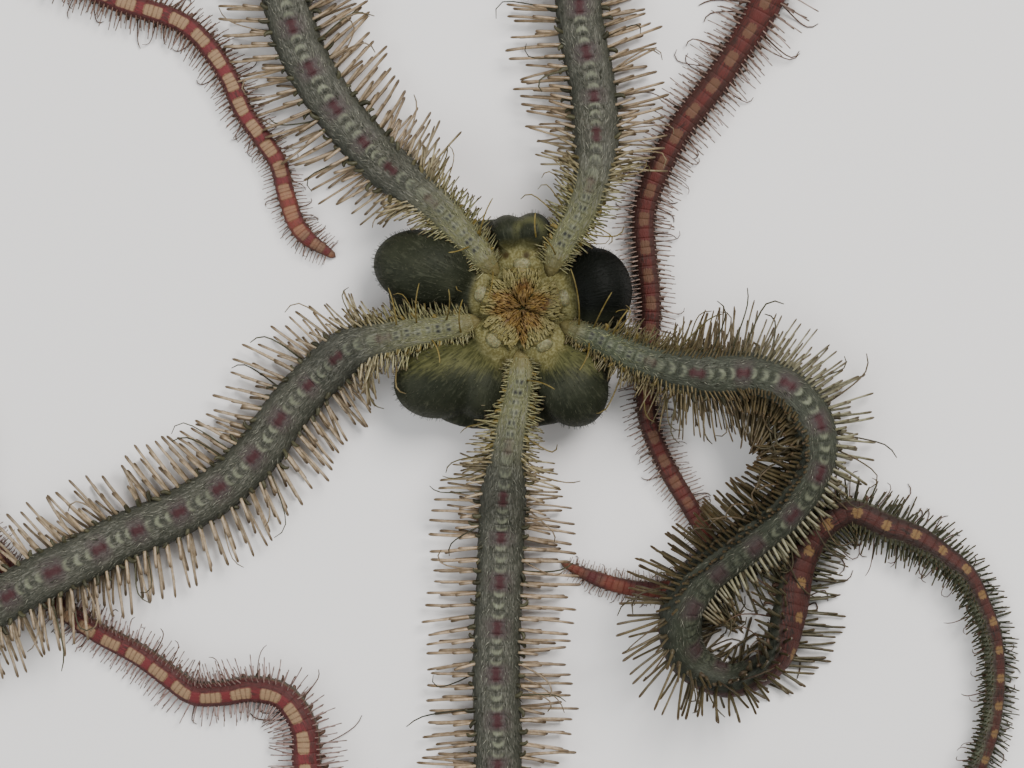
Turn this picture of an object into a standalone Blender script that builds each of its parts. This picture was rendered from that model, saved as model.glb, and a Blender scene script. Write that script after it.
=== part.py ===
# Brittle star at life size, lying oral side up with its five long arms in loose bends.
# The origin is on the flat under the disc, straight below the mouth, and +Z points up.
# Lengths below are in millimetres and angles in degrees; MM turns them into metres.

import math
import random

import bmesh
import bpy
import numpy as np
from mathutils import Matrix, Vector
from mathutils.bvhtree import BVHTree

MM = 0.001
SEED = 23

# Disc
SEAM = 0.3
DISC_TOP = 2.6
DISC_FLAT = 3.6
DISC_SIDES = 32
DISC_PROFILE = ((0.0, None), (0.75, 0.78), (1.4, 0.94), (2.0, 1.0), (DISC_TOP, 0.96))
LOBE_OVERHANG = 0.35
ARM_NOTCH = 0.93
LOBE_FLOOR = DISC_TOP + SEAM
BAG_SEGMENTS = 16
BAG_RINGS = 10
FLOOR_BLOCK_WIDTH = 40.0

# Each lobe of the disc: bearing of its middle, then one or two rounded bags, each with
# its centre, half sizes in plan, turn about the vertical and height above the lobe floor
LOBES = (
    ("left", 161.0, (((-6.7, 2.7), (3.6, 2.7), -12.0, 2.9),)),
    ("lower_left", 229.0, (((-5.4, -4.9), (3.5, 2.7), 14.0, 2.9), ((-2.9, -5.4), (1.9, 2.3), 0.0, 2.6))),
    ("lower_right", 301.0, (((3.4, -5.3), (2.5, 3.0), 24.0, 2.8),)),
    ("right", 13.0, (((5.2, 1.3), (2.4, 2.9), 10.0, 2.8),)),
    ("upper", 90.0, (((-1.0, 5.2), (1.25, 1.25), 0.0, 2.2), ((0.75, 5.3), (1.3, 1.3), 0.0, 2.3))),
)

# Mouth frame: five kite-shaped jaws and the oral shield behind each
JAW_TIP = 0.4
JAW_CORNER = 2.2
JAW_CORNER_HALF_WIDTH = 1.3
JAW_HEEL = 2.35
JAW_RISE = 1.75
JAW_TIP_RISE = 1.15
JAW_TIP_SLOPE = 0.25
JAW_CROWN_INSET = 0.1
JAW_CROWN_SHARE = 0.72
SHIELD_MIDDLE = 3.2
SHIELD_HALF_LENGTH = 0.5
SHIELD_HALF_WIDTH = 0.62
SHIELD_RISE = 1.95
SHIELD_SIDES = 10
SHIELD_SHOULDER = 0.55
SHIELD_FOOT_SHARE = 0.85
SHIELD_CROWN_SHARE = 0.6

# Arms: width by distance from the mouth, and depth as a share of the width
ARM_START = 2.9
ARM_WIDTH = ((2.9, 1.6), (6.0, 2.1), (9.0, 2.5), (14.0, 3.3), (38.0, 3.4),
             (48.0, 3.0), (60.0, 2.0), (83.0, 1.45), (96.0, 1.25), (110.0, 1.0))
TIP_TAPER = 3.2
TIP_BLUNTNESS = 0.3
DEPTH_SHARE = 0.78
ARM_SIDES = 8
RING_SPACING = 2.4
ARM_BASE_LIFT = DISC_TOP + 0.35
ARM_CUT_END = 13.0
ARM_CUT_RINGS = 6

# Spines: length by distance from the mouth, one every few segments on each side
SPINE_LENGTH = ((2.9, 1.2), (9.0, 1.6), (13.0, 3.3), (16.0, 3.8), (45.0, 3.9), (62.0, 1.8),
                (83.0, 1.3), (96.0, 1.0), (110.0, 0.6))
SPINE_FIRST = 9.6
SPINE_PITCH = 1.75
SPINE_SIDES = 3
SPINE_ROOT_RADIUS = 0.3
SPINE_ROOT_SHARE = 0.4
SPINE_TAPER = 0.7
SPINE_LEAN = 0.12
SPINE_RISE_LOW = 4.0
SPINE_RISE_HIGH = 34.0
RISE_SPREAD = 5.0
LENGTH_SPREAD = (0.9, 1.05)
SPINE_END_MARGIN = 0.85
SPINE_CLEARANCE = 0.3
SPINE_FLOOR_GAP = 0.08
# What is tried in turn for a spine: share of its length, and degrees it is raised
SPINE_TRIES = tuple((stretch, lift) for stretch in (1.0, 0.75, 0.5)
                    for lift in (0.0, 12.0, 24.0, 38.0, 52.0, -12.0))

# Radial shields, in pairs under the disc at each arm: outline as share of the disc's reach
# and distance across, how far each stands from the arm's bearing, and how proud it is
RADIAL_SHIELD_OUTLINE = ((0.70, -0.30), (0.70, 0.30), (0.80, 0.75), (0.90, 0.80), (0.94, 0.35),
                         (0.94, -0.35), (0.90, -0.80), (0.80, -0.75))
RADIAL_SHIELD_SPREAD = 9.5
RADIAL_SHIELD_PROUD = 0.28
RADIAL_SHIELD_SINK = 0.5
UNDERSIDE_SLOPE = ((0.50, 0.0), (0.78, 0.75), (0.94, 1.4))

# Arm routes in plan, from the mouth outwards. lift is the height of the underside above
# the floor and roll the turn about the arm, both by distance from the mouth. joins are
# the distances at which one length of the arm meets the next.
ARMS = (
    {"name": "arm_left",
     "route": ((-2.8, -0.8), (-4.3, -1.2), (-8.5, -1.9), (-11.8, -2.8), (-14.1, -4.7), (-16.4, -7.2),
               (-18.1, -9.7), (-20.6, -12.2), (-24.3, -14.4), (-27.8, -15.9), (-30.6, -17.4),
               (-33.2, -18.6), (-35.7, -20.1), (-40.1, -22.9), (-45.5, -25.6), (-51.5, -26.0),
               (-57.0, -22.8), (-59.6, -17.0), (-58.6, -10.6), (-54.2, -6.2), (-48.6, -5.6),
               (-44.8, -8.8), (-45.4, -13.0), (-48.6, -14.4)),
     "lift": ((2.9, ARM_BASE_LIFT), (9.5, ARM_BASE_LIFT), (16.0, 0.0), (32.0, 0.0), (39.5, 2.0),
              (43.0, 2.0), (50.0, 0.0)),
     "roll": ((2.9, 0.0),),
     "joins": (14.0, 31.0, 48.0, 64.0, 80.0, 92.0)},
    {"name": "arm_lower",
     "route": ((-0.05, -2.8), (-0.1, -4.3), (-0.8, -8.6), (-1.2, -11.9), (-1.4, -14.8), (-1.5, -18.1),
               (-1.7, -22.0), (-1.8, -25.4), (-1.7, -31.7), (-2.6, -37.0), (-6.2, -40.8),
               (-11.0, -40.6), (-14.2, -36.9), (-15.0, -31.7), (-15.2, -29.2), (-16.7, -27.0),
               (-18.8, -26.5), (-21.0, -26.8), (-22.8, -26.8), (-24.6, -25.6), (-26.4, -24.3),
               (-29.7, -22.5), (-32.6, -20.5), (-36.2, -17.6), (-38.4, -13.6), (-38.6, -9.0),
               (-40.4, -5.2), (-42.8, -2.6)),
     "lift": ((2.9, ARM_BASE_LIFT), (9.5, ARM_BASE_LIFT), (16.0, 0.0)),
     "roll": ((34.0, 0.0), (52.0, 180.0), (64.0, 200.0)),
     "joins": (14.0, 31.0, 43.0, 54.0, 70.0, 87.0)},
    {"name": "arm_right",
     "route": ((2.6, -1.1), (4.6, -1.9), (7.4, -3.2), (9.9, -4.1), (12.7, -4.6), (15.7, -4.7),
               (18.3, -5.8), (19.9, -7.9), (20.2, -9.7), (19.5, -11.9), (18.0, -13.9), (15.4, -16.1),
               (12.3, -18.6), (11.0, -21.0), (11.6, -24.2), (14.4, -25.8), (17.4, -24.4),
               (18.6, -21.2), (19.4, -17.8), (21.0, -15.2), (22.9, -14.2), (25.4, -15.2),
               (27.7, -16.1), (29.4, -17.3), (31.0, -18.7), (31.9, -20.5), (32.7, -22.6),
               (33.0, -24.6), (33.0, -26.7), (32.6, -29.6), (31.9, -31.6), (30.4, -35.0),
               (27.2, -37.4), (23.2, -37.2), (20.4, -34.8), (16.8, -34.0), (13.6, -36.0)),
     "lift": ((2.9, ARM_BASE_LIFT), (11.0, ARM_BASE_LIFT), (17.0, 2.0), (38.0, 2.0), (44.0, 0.0)),
     "roll": ((13.0, 0.0), (21.0, 24.0), (27.0, 36.0), (38.0, 36.0), (60.0, 180.0), (72.0, 216.0)),
     "joins": (13.0, 24.0, 35.0, 45.5, 56.0, 64.5, 81.0, 95.0)},
    {"name": "arm_upper_left",
     "route": ((-1.7, 2.2), (-2.2, 2.8), (-3.6, 4.5), (-5.5, 6.6), (-9.4, 9.9), (-13.0, 14.0),
               (-15.6, 18.6), (-16.8, 23.6), (-17.4, 29.4), (-20.4, 35.4), (-26.6, 38.4),
               (-33.0, 36.4), (-35.6, 30.6), (-33.6, 24.6), (-28.4, 21.6), (-23.2, 19.6),
               (-20.4, 16.0), (-19.4, 13.7), (-18.0, 11.7), (-17.0, 10.1), (-16.5, 8.1),
               (-15.4, 5.4), (-13.0, 3.6)),
     "lift": ((2.9, ARM_BASE_LIFT), (9.5, ARM_BASE_LIFT), (16.0, 0.0)),
     "roll": ((40.0, 0.0), (62.0, 180.0)),
     "joins": (14.0, 32.0, 47.0, 59.0, 72.0, 86.0)},
    {"name": "arm_upper_right",
     "route": ((1.8, 2.2), (2.7, 4.3), (3.9, 6.3), (4.9, 9.5), (5.0, 14.5), (4.0, 20.5), (4.4, 27.0),
               (8.0, 32.4), (13.6, 33.2), (17.6, 29.0), (17.4, 22.6), (14.2, 16.8), (10.6, 11.8),
               (8.5, 6.4), (8.7, 3.2), (9.0, 0.1), (8.7, -4.0), (8.9, -8.0), (10.2, -11.2),
               (11.9, -14.1), (12.9, -16.0), (12.8, -18.1), (11.1, -19.3), (9.0, -19.6),
               (6.7, -19.3), (4.6, -18.6), (2.7, -17.7)),
     "lift": ((2.9, ARM_BASE_LIFT), (9.5, ARM_BASE_LIFT), (16.0, 0.0)),
     "roll": ((26.0, 0.0), (46.0, 180.0)),
     "joins": (14.0, 29.0, 39.5, 50.0, 66.0, 82.0, 95.0)},
)

LOBE_COLOUR = (0.030, 0.034, 0.022)
DISC_COLOUR = (0.045, 0.047, 0.030)
JAW_COLOUR = (0.190, 0.080, 0.022)
SHIELD_COLOUR = (0.360, 0.350, 0.240)
ARM_COLOUR = (0.100, 0.100, 0.072)


def clear_scene():
    for obj in list(bpy.data.objects):
        bpy.data.objects.remove(obj, do_unlink=True)


def new_collection(name):
    collection = bpy.data.collections.new(name)
    bpy.context.scene.collection.children.link(collection)
    return collection


def material(name, colour, roughness):
    mat = bpy.data.materials.new(name)
    mat.use_nodes = True
    shader = mat.node_tree.nodes["Principled BSDF"]
    shader.inputs["Base Color"].default_value = (*colour, 1.0)
    shader.inputs["Roughness"].default_value = roughness
    shader.inputs["Metallic"].default_value = 0.0
    return mat


def put_mesh(name, bm, collection, mat=None):
    """Make an object from a bmesh in millimetres and link it to a collection."""
    bmesh.ops.scale(bm, vec=(MM, MM, MM), verts=bm.verts)
    bmesh.ops.recalc_face_normals(bm, faces=bm.faces)
    mesh = bpy.data.meshes.new(name)
    bm.to_mesh(mesh)
    bm.free()
    obj = bpy.data.objects.new(name, mesh)
    collection.objects.link(obj)
    if mat is not None:
        mesh.materials.append(mat)
    return obj


def eased(stations, distance):
    """Value at a distance, easing from one (distance, value) station to the next."""
    if distance <= stations[0][0]:
        return stations[0][1]
    for (start, low), (end, high) in zip(stations, stations[1:]):
        if distance <= end:
            share = (distance - start) / (end - start)
            return low + (high - low) * share * share * (3.0 - 2.0 * share)
    return stations[-1][1]


def smooth_path(points, step=0.1):
    """Even samples of a smooth curve through the given points in plan."""
    knots = np.array(points, dtype=float)
    spans = np.linalg.norm(np.diff(knots, axis=0), axis=1)
    slopes = np.diff(knots, axis=0) / spans[:, None]
    tangents = np.vstack([slopes[:1], slopes])
    for i in range(1, len(spans)):
        weighted = slopes[i] * spans[i - 1] + slopes[i - 1] * spans[i]
        tangents[i] = weighted / (spans[i] + spans[i - 1])
    pieces = []
    for i, span in enumerate(spans):
        u = np.linspace(0.0, 1.0, max(3, int(span / step)), endpoint=False)[:, None]
        pieces.append((2 * u**3 - 3 * u**2 + 1) * knots[i]
                      + (u**3 - 2 * u**2 + u) * span * tangents[i]
                      + (3 * u**2 - 2 * u**3) * knots[i + 1]
                      + (u**3 - u**2) * span * tangents[i + 1])
    pieces.append(knots[-1:])
    return np.concatenate(pieces)


class Arm:
    """One arm as a route that can be read at any distance from the mouth."""

    def __init__(self, plan):
        self.plan = plan
        self.path = smooth_path(plan["route"])
        steps = np.linalg.norm(np.diff(self.path, axis=0), axis=1)
        self.distances = ARM_START + np.concatenate([[0.0], np.cumsum(steps)])
        self.end = float(self.distances[-1])

    def half_sizes(self, distance):
        taper = (self.end + TIP_BLUNTNESS - distance) / TIP_TAPER
        half_width = 0.5 * eased(ARM_WIDTH, distance) * math.sqrt(min(max(taper, 0.0), 1.0))
        return half_width, half_width * DEPTH_SHARE

    def roll(self, distance):
        return math.radians(eased(self.plan["roll"], distance))

    def centre(self, distance):
        x = np.interp(distance, self.distances, self.path[:, 0])
        y = np.interp(distance, self.distances, self.path[:, 1])
        half_width, half_depth = self.half_sizes(distance)
        turn = self.roll(distance)
        reach_down = math.hypot(half_depth * math.cos(turn), half_width * math.sin(turn))
        return Vector((x, y, eased(self.plan["lift"], distance) + reach_down))

    def frame(self, distance):
        """Centre, outward direction, side direction and oral direction."""
        before = self.centre(max(distance - 0.3, ARM_START))
        after = self.centre(min(distance + 0.3, self.end))
        along = (after - before).normalized()
        side = along.cross(Vector((0.0, 0.0, 1.0))).normalized()
        oral = side.cross(along)
        turn = Matrix.Rotation(self.roll(distance), 3, along)
        return self.centre(distance), along, turn @ side, turn @ oral


def above_floor(point):
    return Vector((point.x, point.y, max(point.z, 0.0)))


def loft(rings):
    """Closed body through rings of points, with a flat cap at each end."""
    bm = bmesh.new()
    rows = [[bm.verts.new(point) for point in ring] for ring in rings]
    count = len(rows[0])
    for row, following in zip(rows, rows[1:]):
        for i in range(count):
            j = (i + 1) % count
            bm.faces.new((row[i], row[j], following[j], following[i]))
    bm.faces.new(rows[0][::-1])
    bm.faces.new(rows[-1])
    return bm


def arm_ring(arm, distance):
    centre, _, side, oral = arm.frame(distance)
    half_width, half_depth = arm.half_sizes(distance)
    corner = math.cos(math.pi / ARM_SIDES)
    points = []
    for k in range(ARM_SIDES):
        angle = 2.0 * math.pi * (k + 0.5) / ARM_SIDES
        across = side * (half_width * math.cos(angle) / corner)
        points.append(above_floor(centre + across + oral * (half_depth * math.sin(angle) / corner)))
    return points


def arm_lengths(arm):
    """Start and end of each length of the arm, with the seams left open between them."""
    marks = [ARM_START, *arm.plan["joins"], arm.end]
    spans = []
    for start, end in zip(marks, marks[1:]):
        low = start if start == ARM_START else start + 0.5 * SEAM
        high = end if end == arm.end else end - 0.5 * SEAM
        spans.append((low, high))
    return spans


def arm_body(arm, start, end):
    rings = max(3, round((end - start) / RING_SPACING) + 1)
    return loft([arm_ring(arm, d) for d in np.linspace(start, end, rings)])


def disc_reach(bearing):
    """Radius of the disc's widest line at a bearing, full at the lobes, drawn in at the arms."""
    stations = []
    for _, middle, bags in LOBES:
        direction = Vector((math.cos(math.radians(middle)), math.sin(math.radians(middle))))
        reach = max(Vector(centre).dot(direction) + min(half) for centre, half, _, _ in bags)
        stations.append((middle % 360.0, reach - LOBE_OVERHANG))
    stations.sort()
    stations.append((stations[0][0] + 360.0, stations[0][1]))
    if bearing < stations[0][0]:
        bearing += 360.0
    for (start, low), (end, high) in zip(stations, stations[1:]):
        if bearing <= end:
            share = (bearing - start) / (end - start)
            ease = share * share * (3.0 - 2.0 * share)
            notch = 1.0 - (1.0 - ARM_NOTCH) * math.sin(math.pi * share) ** 2
            return (low + (high - low) * ease) * notch
    return stations[-1][1]


def disc_body():
    """Low drum with a small flat underneath and a rounded side."""
    rings = []
    for height, share in DISC_PROFILE:
        ring = []
        for k in range(DISC_SIDES):
            bearing = 360.0 * k / DISC_SIDES
            radius = DISC_FLAT if share is None else disc_reach(bearing) * share
            angle = math.radians(bearing)
            ring.append(Vector((radius * math.cos(angle), radius * math.sin(angle), height)))
        rings.append(ring)
    return loft(rings)


def lobe_bag(centre, half, turn, height):
    """Rounded bag whose widest line is at the lobe floor."""
    bm = bmesh.new()
    bmesh.ops.create_uvsphere(bm, u_segments=BAG_SEGMENTS, v_segments=BAG_RINGS, radius=1.0)
    bmesh.ops.scale(bm, vec=(half[0], half[1], height), verts=bm.verts)
    bmesh.ops.rotate(bm, matrix=Matrix.Rotation(math.radians(turn), 3, "Z"), verts=bm.verts)
    bmesh.ops.translate(bm, vec=(centre[0], centre[1], LOBE_FLOOR), verts=bm.verts)
    return bm


def floor_block():
    """Block that takes off the lower half of every lobe."""
    bm = bmesh.new()
    bmesh.ops.create_cube(bm, size=1.0)
    bmesh.ops.scale(bm, vec=(FLOOR_BLOCK_WIDTH, FLOOR_BLOCK_WIDTH, 2.0 * LOBE_FLOOR), verts=bm.verts)
    return bm


def turned(points, bearing):
    turn = Matrix.Rotation(math.radians(bearing), 3, "Z")
    return [turn @ Vector(point) for point in points]


def jaw_body(bearing, grow=0.0):
    """Kite-shaped jaw between two arms, its tip lowest, or the same grown as a cutter."""
    low = LOBE_FLOOR - grow
    top = LOBE_FLOOR + JAW_RISE + grow
    tip_top = LOBE_FLOOR + JAW_TIP_RISE + grow
    half = JAW_CORNER_HALF_WIDTH + grow
    base = ((JAW_TIP - grow, 0.0, low), (JAW_CORNER, half, low),
            (JAW_HEEL + grow, 0.0, low), (JAW_CORNER, -half, low))
    corner = JAW_CORNER - JAW_CROWN_INSET
    crown_half = half * JAW_CROWN_SHARE
    crown = ((JAW_TIP + JAW_TIP_SLOPE, 0.0, tip_top), (corner, crown_half, top),
             (JAW_HEEL + grow - JAW_CROWN_INSET, 0.0, top), (corner, -crown_half, top))
    return loft([turned(base, bearing), turned(crown, bearing)])


def shield_body(bearing, grow=0.0):
    """Rounded oral shield behind a jaw."""
    rings = []
    profile = ((-grow, SHIELD_FOOT_SHARE), (SHIELD_SHOULDER * SHIELD_RISE, 1.0),
               (SHIELD_RISE + grow, SHIELD_CROWN_SHARE))
    for height, share in profile:
        ring = []
        for k in range(SHIELD_SIDES):
            angle = 2.0 * math.pi * k / SHIELD_SIDES
            out = SHIELD_MIDDLE + (SHIELD_HALF_LENGTH * share + grow) * math.cos(angle)
            across = (SHIELD_HALF_WIDTH * share + grow) * math.sin(angle)
            ring.append((out, across, LOBE_FLOOR + height))
        rings.append(turned(ring, bearing))
    return loft(rings)


def add_boolean(obj, operation, target):
    boolean = obj.modifiers.new(operation.lower(), "BOOLEAN")
    boolean.operation = operation
    boolean.solver = "EXACT"
    if isinstance(target, bpy.types.Collection):
        boolean.operand_type = "COLLECTION"
        boolean.collection = target
    else:
        boolean.object = target
    return boolean


def apply_modifiers(obj):
    """Replace the object's mesh by its evaluated mesh, keeping its largest closed surface."""
    evaluated = obj.evaluated_get(bpy.context.evaluated_depsgraph_get())
    mesh = bpy.data.meshes.new_from_object(evaluated)
    obj.modifiers.clear()
    obj.data = mesh
    bm = bmesh.new()
    bm.from_mesh(mesh)
    bmesh.ops.triangulate(bm, faces=bm.faces)
    keep_largest(bm)
    bmesh.ops.recalc_face_normals(bm, faces=bm.faces)
    bm.to_mesh(mesh)
    bm.free()


def keep_largest(bm):
    unseen = set(bm.faces)
    shells = []
    while unseen:
        stack = [unseen.pop()]
        shell = []
        while stack:
            face = stack.pop()
            shell.append(face)
            for edge in face.edges:
                for other in edge.link_faces:
                    if other in unseen:
                        unseen.remove(other)
                        stack.append(other)
        shells.append(shell)
    shells.sort(key=lambda shell: sum(face.calc_area() for face in shell))
    for shell in shells[:-1]:
        bmesh.ops.delete(bm, geom=shell, context="FACES")


def as_cutter(obj):
    obj.hide_render = True
    obj.display_type = "WIRE"
    return obj


def build_lobes(parts, cutters, mat, arm_cutters):
    """The bags between the arms, cut clear of the disc, arms and shields beside them."""
    floor = as_cutter(put_mesh("floor_cutter", floor_block(), cutters))
    for name, bearing, bags in LOBES:
        first, *others = [put_mesh("bag", lobe_bag(*bag), cutters) for bag in bags]
        for other in others:
            add_boolean(first, "UNION", as_cutter(other))
        lobe = first
        lobe.name = "disc_lobe_" + name
        cutters.objects.unlink(lobe)
        parts.objects.link(lobe)
        lobe.data.materials.append(mat)
        add_boolean(lobe, "DIFFERENCE", floor)
        for cutter in arm_cutters:
            add_boolean(lobe, "DIFFERENCE", cutter)
        grown = put_mesh("shield_cutter", shield_body(bearing, SEAM), cutters)
        add_boolean(lobe, "DIFFERENCE", as_cutter(grown))
        apply_modifiers(lobe)


def arm_cutter(arm, cutters):
    """The first stretch of an arm, wider and deeper by the seam."""
    corner = math.cos(math.pi / ARM_SIDES)
    rings = []
    for distance in np.linspace(ARM_START, ARM_CUT_END, ARM_CUT_RINGS):
        centre, _, side, oral = arm.frame(distance)
        half_width, half_depth = (half + SEAM for half in arm.half_sizes(distance))
        ring = []
        for k in range(ARM_SIDES):
            angle = 2.0 * math.pi * (k + 0.5) / ARM_SIDES
            ring.append(centre + side * (half_width * math.cos(angle) / corner)
                        + oral * (half_depth * math.sin(angle) / corner))
        rings.append(ring)
    return as_cutter(put_mesh("arm_cutter", loft(rings), cutters))


def level_side(arm, distance):
    """Level direction to the right of an arm as it runs outwards."""
    along = arm.frame(distance)[1]
    return Vector((along.y, -along.x, 0.0)).normalized()


class Spine:
    """A tapering spine from a root inside the arm to a blunt tip."""

    def __init__(self, arm, distance, hand, rise, stretch):
        centre, along, _, _ = arm.frame(distance)
        half_width, half_depth = arm.half_sizes(distance)
        level = level_side(arm, distance) * hand
        self.direction = (level * math.cos(rise) + Vector((0.0, 0.0, math.sin(rise)))
                          + along * SPINE_LEAN).normalized()
        self.root_radius = min(SPINE_ROOT_RADIUS, 0.8 * half_depth)
        self.tip_radius = self.root_radius * SPINE_TAPER
        self.root = centre + level * (half_width * SPINE_ROOT_SHARE)
        inside = half_width * (1.0 - SPINE_ROOT_SHARE)
        self.length = inside + eased(SPINE_LENGTH, distance) * stretch
        self.tip = self.root + self.direction * self.length

    def samples(self, count=12):
        return [self.root.lerp(self.tip, i / (count - 1)) for i in range(count)]

    def body(self):
        bm = bmesh.new()
        bmesh.ops.create_cone(bm, cap_ends=True, segments=SPINE_SIDES, radius1=self.root_radius,
                              radius2=self.tip_radius, depth=self.length)
        turn = self.direction.to_track_quat("Z", "Y").to_matrix()
        bmesh.ops.rotate(bm, matrix=turn, verts=bm.verts)
        bmesh.ops.translate(bm, vec=(self.root + self.tip) * 0.5, verts=bm.verts)
        return bm


class Surroundings:
    """What a new spine has to stay clear of: the floor, the other nodes and their spines."""

    def __init__(self, objects):
        depsgraph = bpy.context.evaluated_depsgraph_get()
        self.trees = {obj.name: BVHTree.FromObject(obj, depsgraph) for obj in objects}
        self.spines = []

    def clear_of_nodes(self, spine, node):
        for name, tree in self.trees.items():
            if name == node:
                continue
            for point in spine.samples():
                near = tree.find_nearest(point * MM, (spine.root_radius + SPINE_CLEARANCE) * MM)
                if near[0] is not None:
                    return False
        return True

    def clear_of_spines(self, spine, node):
        others = [other for name, other in self.spines if name != node]
        if not others:
            return True
        roots = np.array([other.root for other in others])
        runs = np.array([other.tip - other.root for other in others])
        squares = (runs * runs).sum(axis=1)
        room = np.array([other.root_radius for other in others]) + spine.root_radius + SPINE_CLEARANCE
        for point in spine.samples():
            shares = np.clip(((np.array(point) - roots) * runs).sum(axis=1) / squares, 0.0, 1.0)
            gaps = np.linalg.norm(roots + runs * shares[:, None] - np.array(point), axis=1)
            if (gaps < room).any():
                return False
        return True

    def accepts(self, spine, node):
        if spine.tip.z - spine.root_radius < SPINE_FLOOR_GAP:
            return False
        return self.clear_of_nodes(spine, node) and self.clear_of_spines(spine, node)


def spine_distances(start, end):
    first = max(start + SPINE_END_MARGIN, SPINE_FIRST)
    last = end - SPINE_END_MARGIN
    if last < first:
        return []
    return np.linspace(first, last, max(2, round((last - first) / SPINE_PITCH) + 1))


def grow_spines(arm, node, start, end, around, chance):
    """One spine on each side at every station, raised or shortened where it would touch."""
    grown = []
    for index, distance in enumerate(spine_distances(start, end)):
        for hand in (-1.0, 1.0):
            high = (index + (hand > 0.0)) % 2
            rise = (SPINE_RISE_HIGH if high else SPINE_RISE_LOW) + chance.uniform(-RISE_SPREAD, RISE_SPREAD)
            fullness = chance.uniform(*LENGTH_SPREAD)
            for stretch, lift in SPINE_TRIES:
                spine = Spine(arm, distance, hand, math.radians(rise + lift), fullness * stretch)
                if around.accepts(spine, node):
                    grown.append(spine)
                    around.spines.append((node, spine))
                    break
    return grown


def fuse(obj, bodies, name):
    """Join bodies to a node in one union and drop the loose pieces."""
    group = bpy.data.collections.new(name)
    pieces = [as_cutter(put_mesh(name, body, group)) for body in bodies]
    bpy.context.scene.collection.children.link(group)
    add_boolean(obj, "UNION", group)
    apply_modifiers(obj)
    for piece in pieces:
        bpy.data.objects.remove(piece, do_unlink=True)
    bpy.data.collections.remove(group)


def arm_bearing(arm):
    x, y = arm.path[0]
    return math.degrees(math.atan2(y, x)) % 360.0


def shield_plate(bearing):
    """Low plate of a radial shield on the sloping underside of the disc."""
    direction = math.radians(bearing)
    rings = []
    for sink in (RADIAL_SHIELD_SINK, -RADIAL_SHIELD_PROUD):
        ring = []
        for out, across in RADIAL_SHIELD_OUTLINE:
            reach = disc_reach(bearing % 360.0) * out
            slope = np.interp(out, *zip(*UNDERSIDE_SLOPE))
            x = reach * math.cos(direction) - across * math.sin(direction)
            y = reach * math.sin(direction) + across * math.cos(direction)
            ring.append(Vector((x, y, max(slope + sink, 0.06))))
        rings.append(ring)
    return loft(rings)


def main():
    clear_scene()
    parts = new_collection("brittle_star")
    cutters = new_collection("cutters")
    lobe_mat = material("lobe", LOBE_COLOUR, 0.55)
    disc_mat = material("disc", DISC_COLOUR, 0.55)
    jaw_mat = material("jaw", JAW_COLOUR, 0.5)
    shield_mat = material("shield", SHIELD_COLOUR, 0.5)
    arm_mat = material("arm", ARM_COLOUR, 0.55)

    arms = [Arm(plan) for plan in ARMS]
    arm_cutters = [arm_cutter(arm, cutters) for arm in arms]
    disc = put_mesh("disc", disc_body(), parts, disc_mat)
    plates = [shield_plate(arm_bearing(arm) + side * RADIAL_SHIELD_SPREAD)
              for arm in arms for side in (-1.0, 1.0)]
    fuse(disc, plates, "radial_shields")
    build_lobes(parts, cutters, lobe_mat, arm_cutters)
    for name, bearing, _ in LOBES:
        put_mesh("jaw_" + name, jaw_body(bearing), parts, jaw_mat)
        put_mesh("oral_shield_" + name, shield_body(bearing), parts, shield_mat)

    spans = []
    for arm in arms:
        for index, (start, end) in enumerate(arm_lengths(arm), 1):
            obj = put_mesh(f"{arm.plan['name']}_{index}", arm_body(arm, start, end), parts, arm_mat)
            spans.append((arm, obj, start, end))

    chance = random.Random(SEED)
    around = Surroundings(parts.objects)
    for arm, obj, start, end in spans:
        spines = grow_spines(arm, obj.name, start, end, around, chance)
        if spines:
            fuse(obj, [spine.body() for spine in spines], "spines")


main()
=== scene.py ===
import math

import bmesh
import bpy
import numpy as np
from mathutils import Matrix, Vector


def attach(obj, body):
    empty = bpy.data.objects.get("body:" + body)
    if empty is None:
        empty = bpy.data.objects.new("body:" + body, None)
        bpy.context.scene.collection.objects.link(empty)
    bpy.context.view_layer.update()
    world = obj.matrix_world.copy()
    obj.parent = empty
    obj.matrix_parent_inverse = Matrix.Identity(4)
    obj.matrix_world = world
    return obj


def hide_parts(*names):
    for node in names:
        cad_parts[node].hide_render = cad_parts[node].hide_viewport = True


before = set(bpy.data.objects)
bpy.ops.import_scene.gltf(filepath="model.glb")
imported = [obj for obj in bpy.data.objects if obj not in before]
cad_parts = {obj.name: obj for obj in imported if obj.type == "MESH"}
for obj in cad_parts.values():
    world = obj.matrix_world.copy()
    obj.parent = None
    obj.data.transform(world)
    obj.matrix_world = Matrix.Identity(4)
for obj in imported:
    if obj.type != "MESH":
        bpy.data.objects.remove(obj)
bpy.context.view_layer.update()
MM = 0.001

# Where the animal is seen from: straight above, mouth side up, with the mouth a little
# above the middle of the picture. The frame takes in about 71 by 53 mm of the animal,
# and the ends of the long arms run out of it.
PHOTO_WIDTH_PX = 1024
PIXELS_PER_MM = 14.5
MOUTH_PIXEL = (522.0, 308.0)
MIDDLE_PIXEL = (512.0, 384.0)
EYE_DISTANCE = 0.200
FOCUS_HEIGHT = 0.003
SENSOR = 36.0
view_x = (MIDDLE_PIXEL[0] - MOUTH_PIXEL[0]) / PIXELS_PER_MM * MM
view_y = (MOUTH_PIXEL[1] - MIDDLE_PIXEL[1]) / PIXELS_PER_MM * MM
view_width = PHOTO_WIDTH_PX / PIXELS_PER_MM * MM
camera = bpy.data.objects.new("camera", bpy.data.cameras.new("camera"))
camera.location = (view_x, view_y, FOCUS_HEIGHT + EYE_DISTANCE)
camera.data.sensor_width = SENSOR
camera.data.lens = SENSOR * EYE_DISTANCE / view_width
camera.data.clip_start = 0.01
camera.data.clip_end = 5.0
bpy.context.scene.collection.objects.link(camera)
bpy.context.scene.camera = camera


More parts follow.
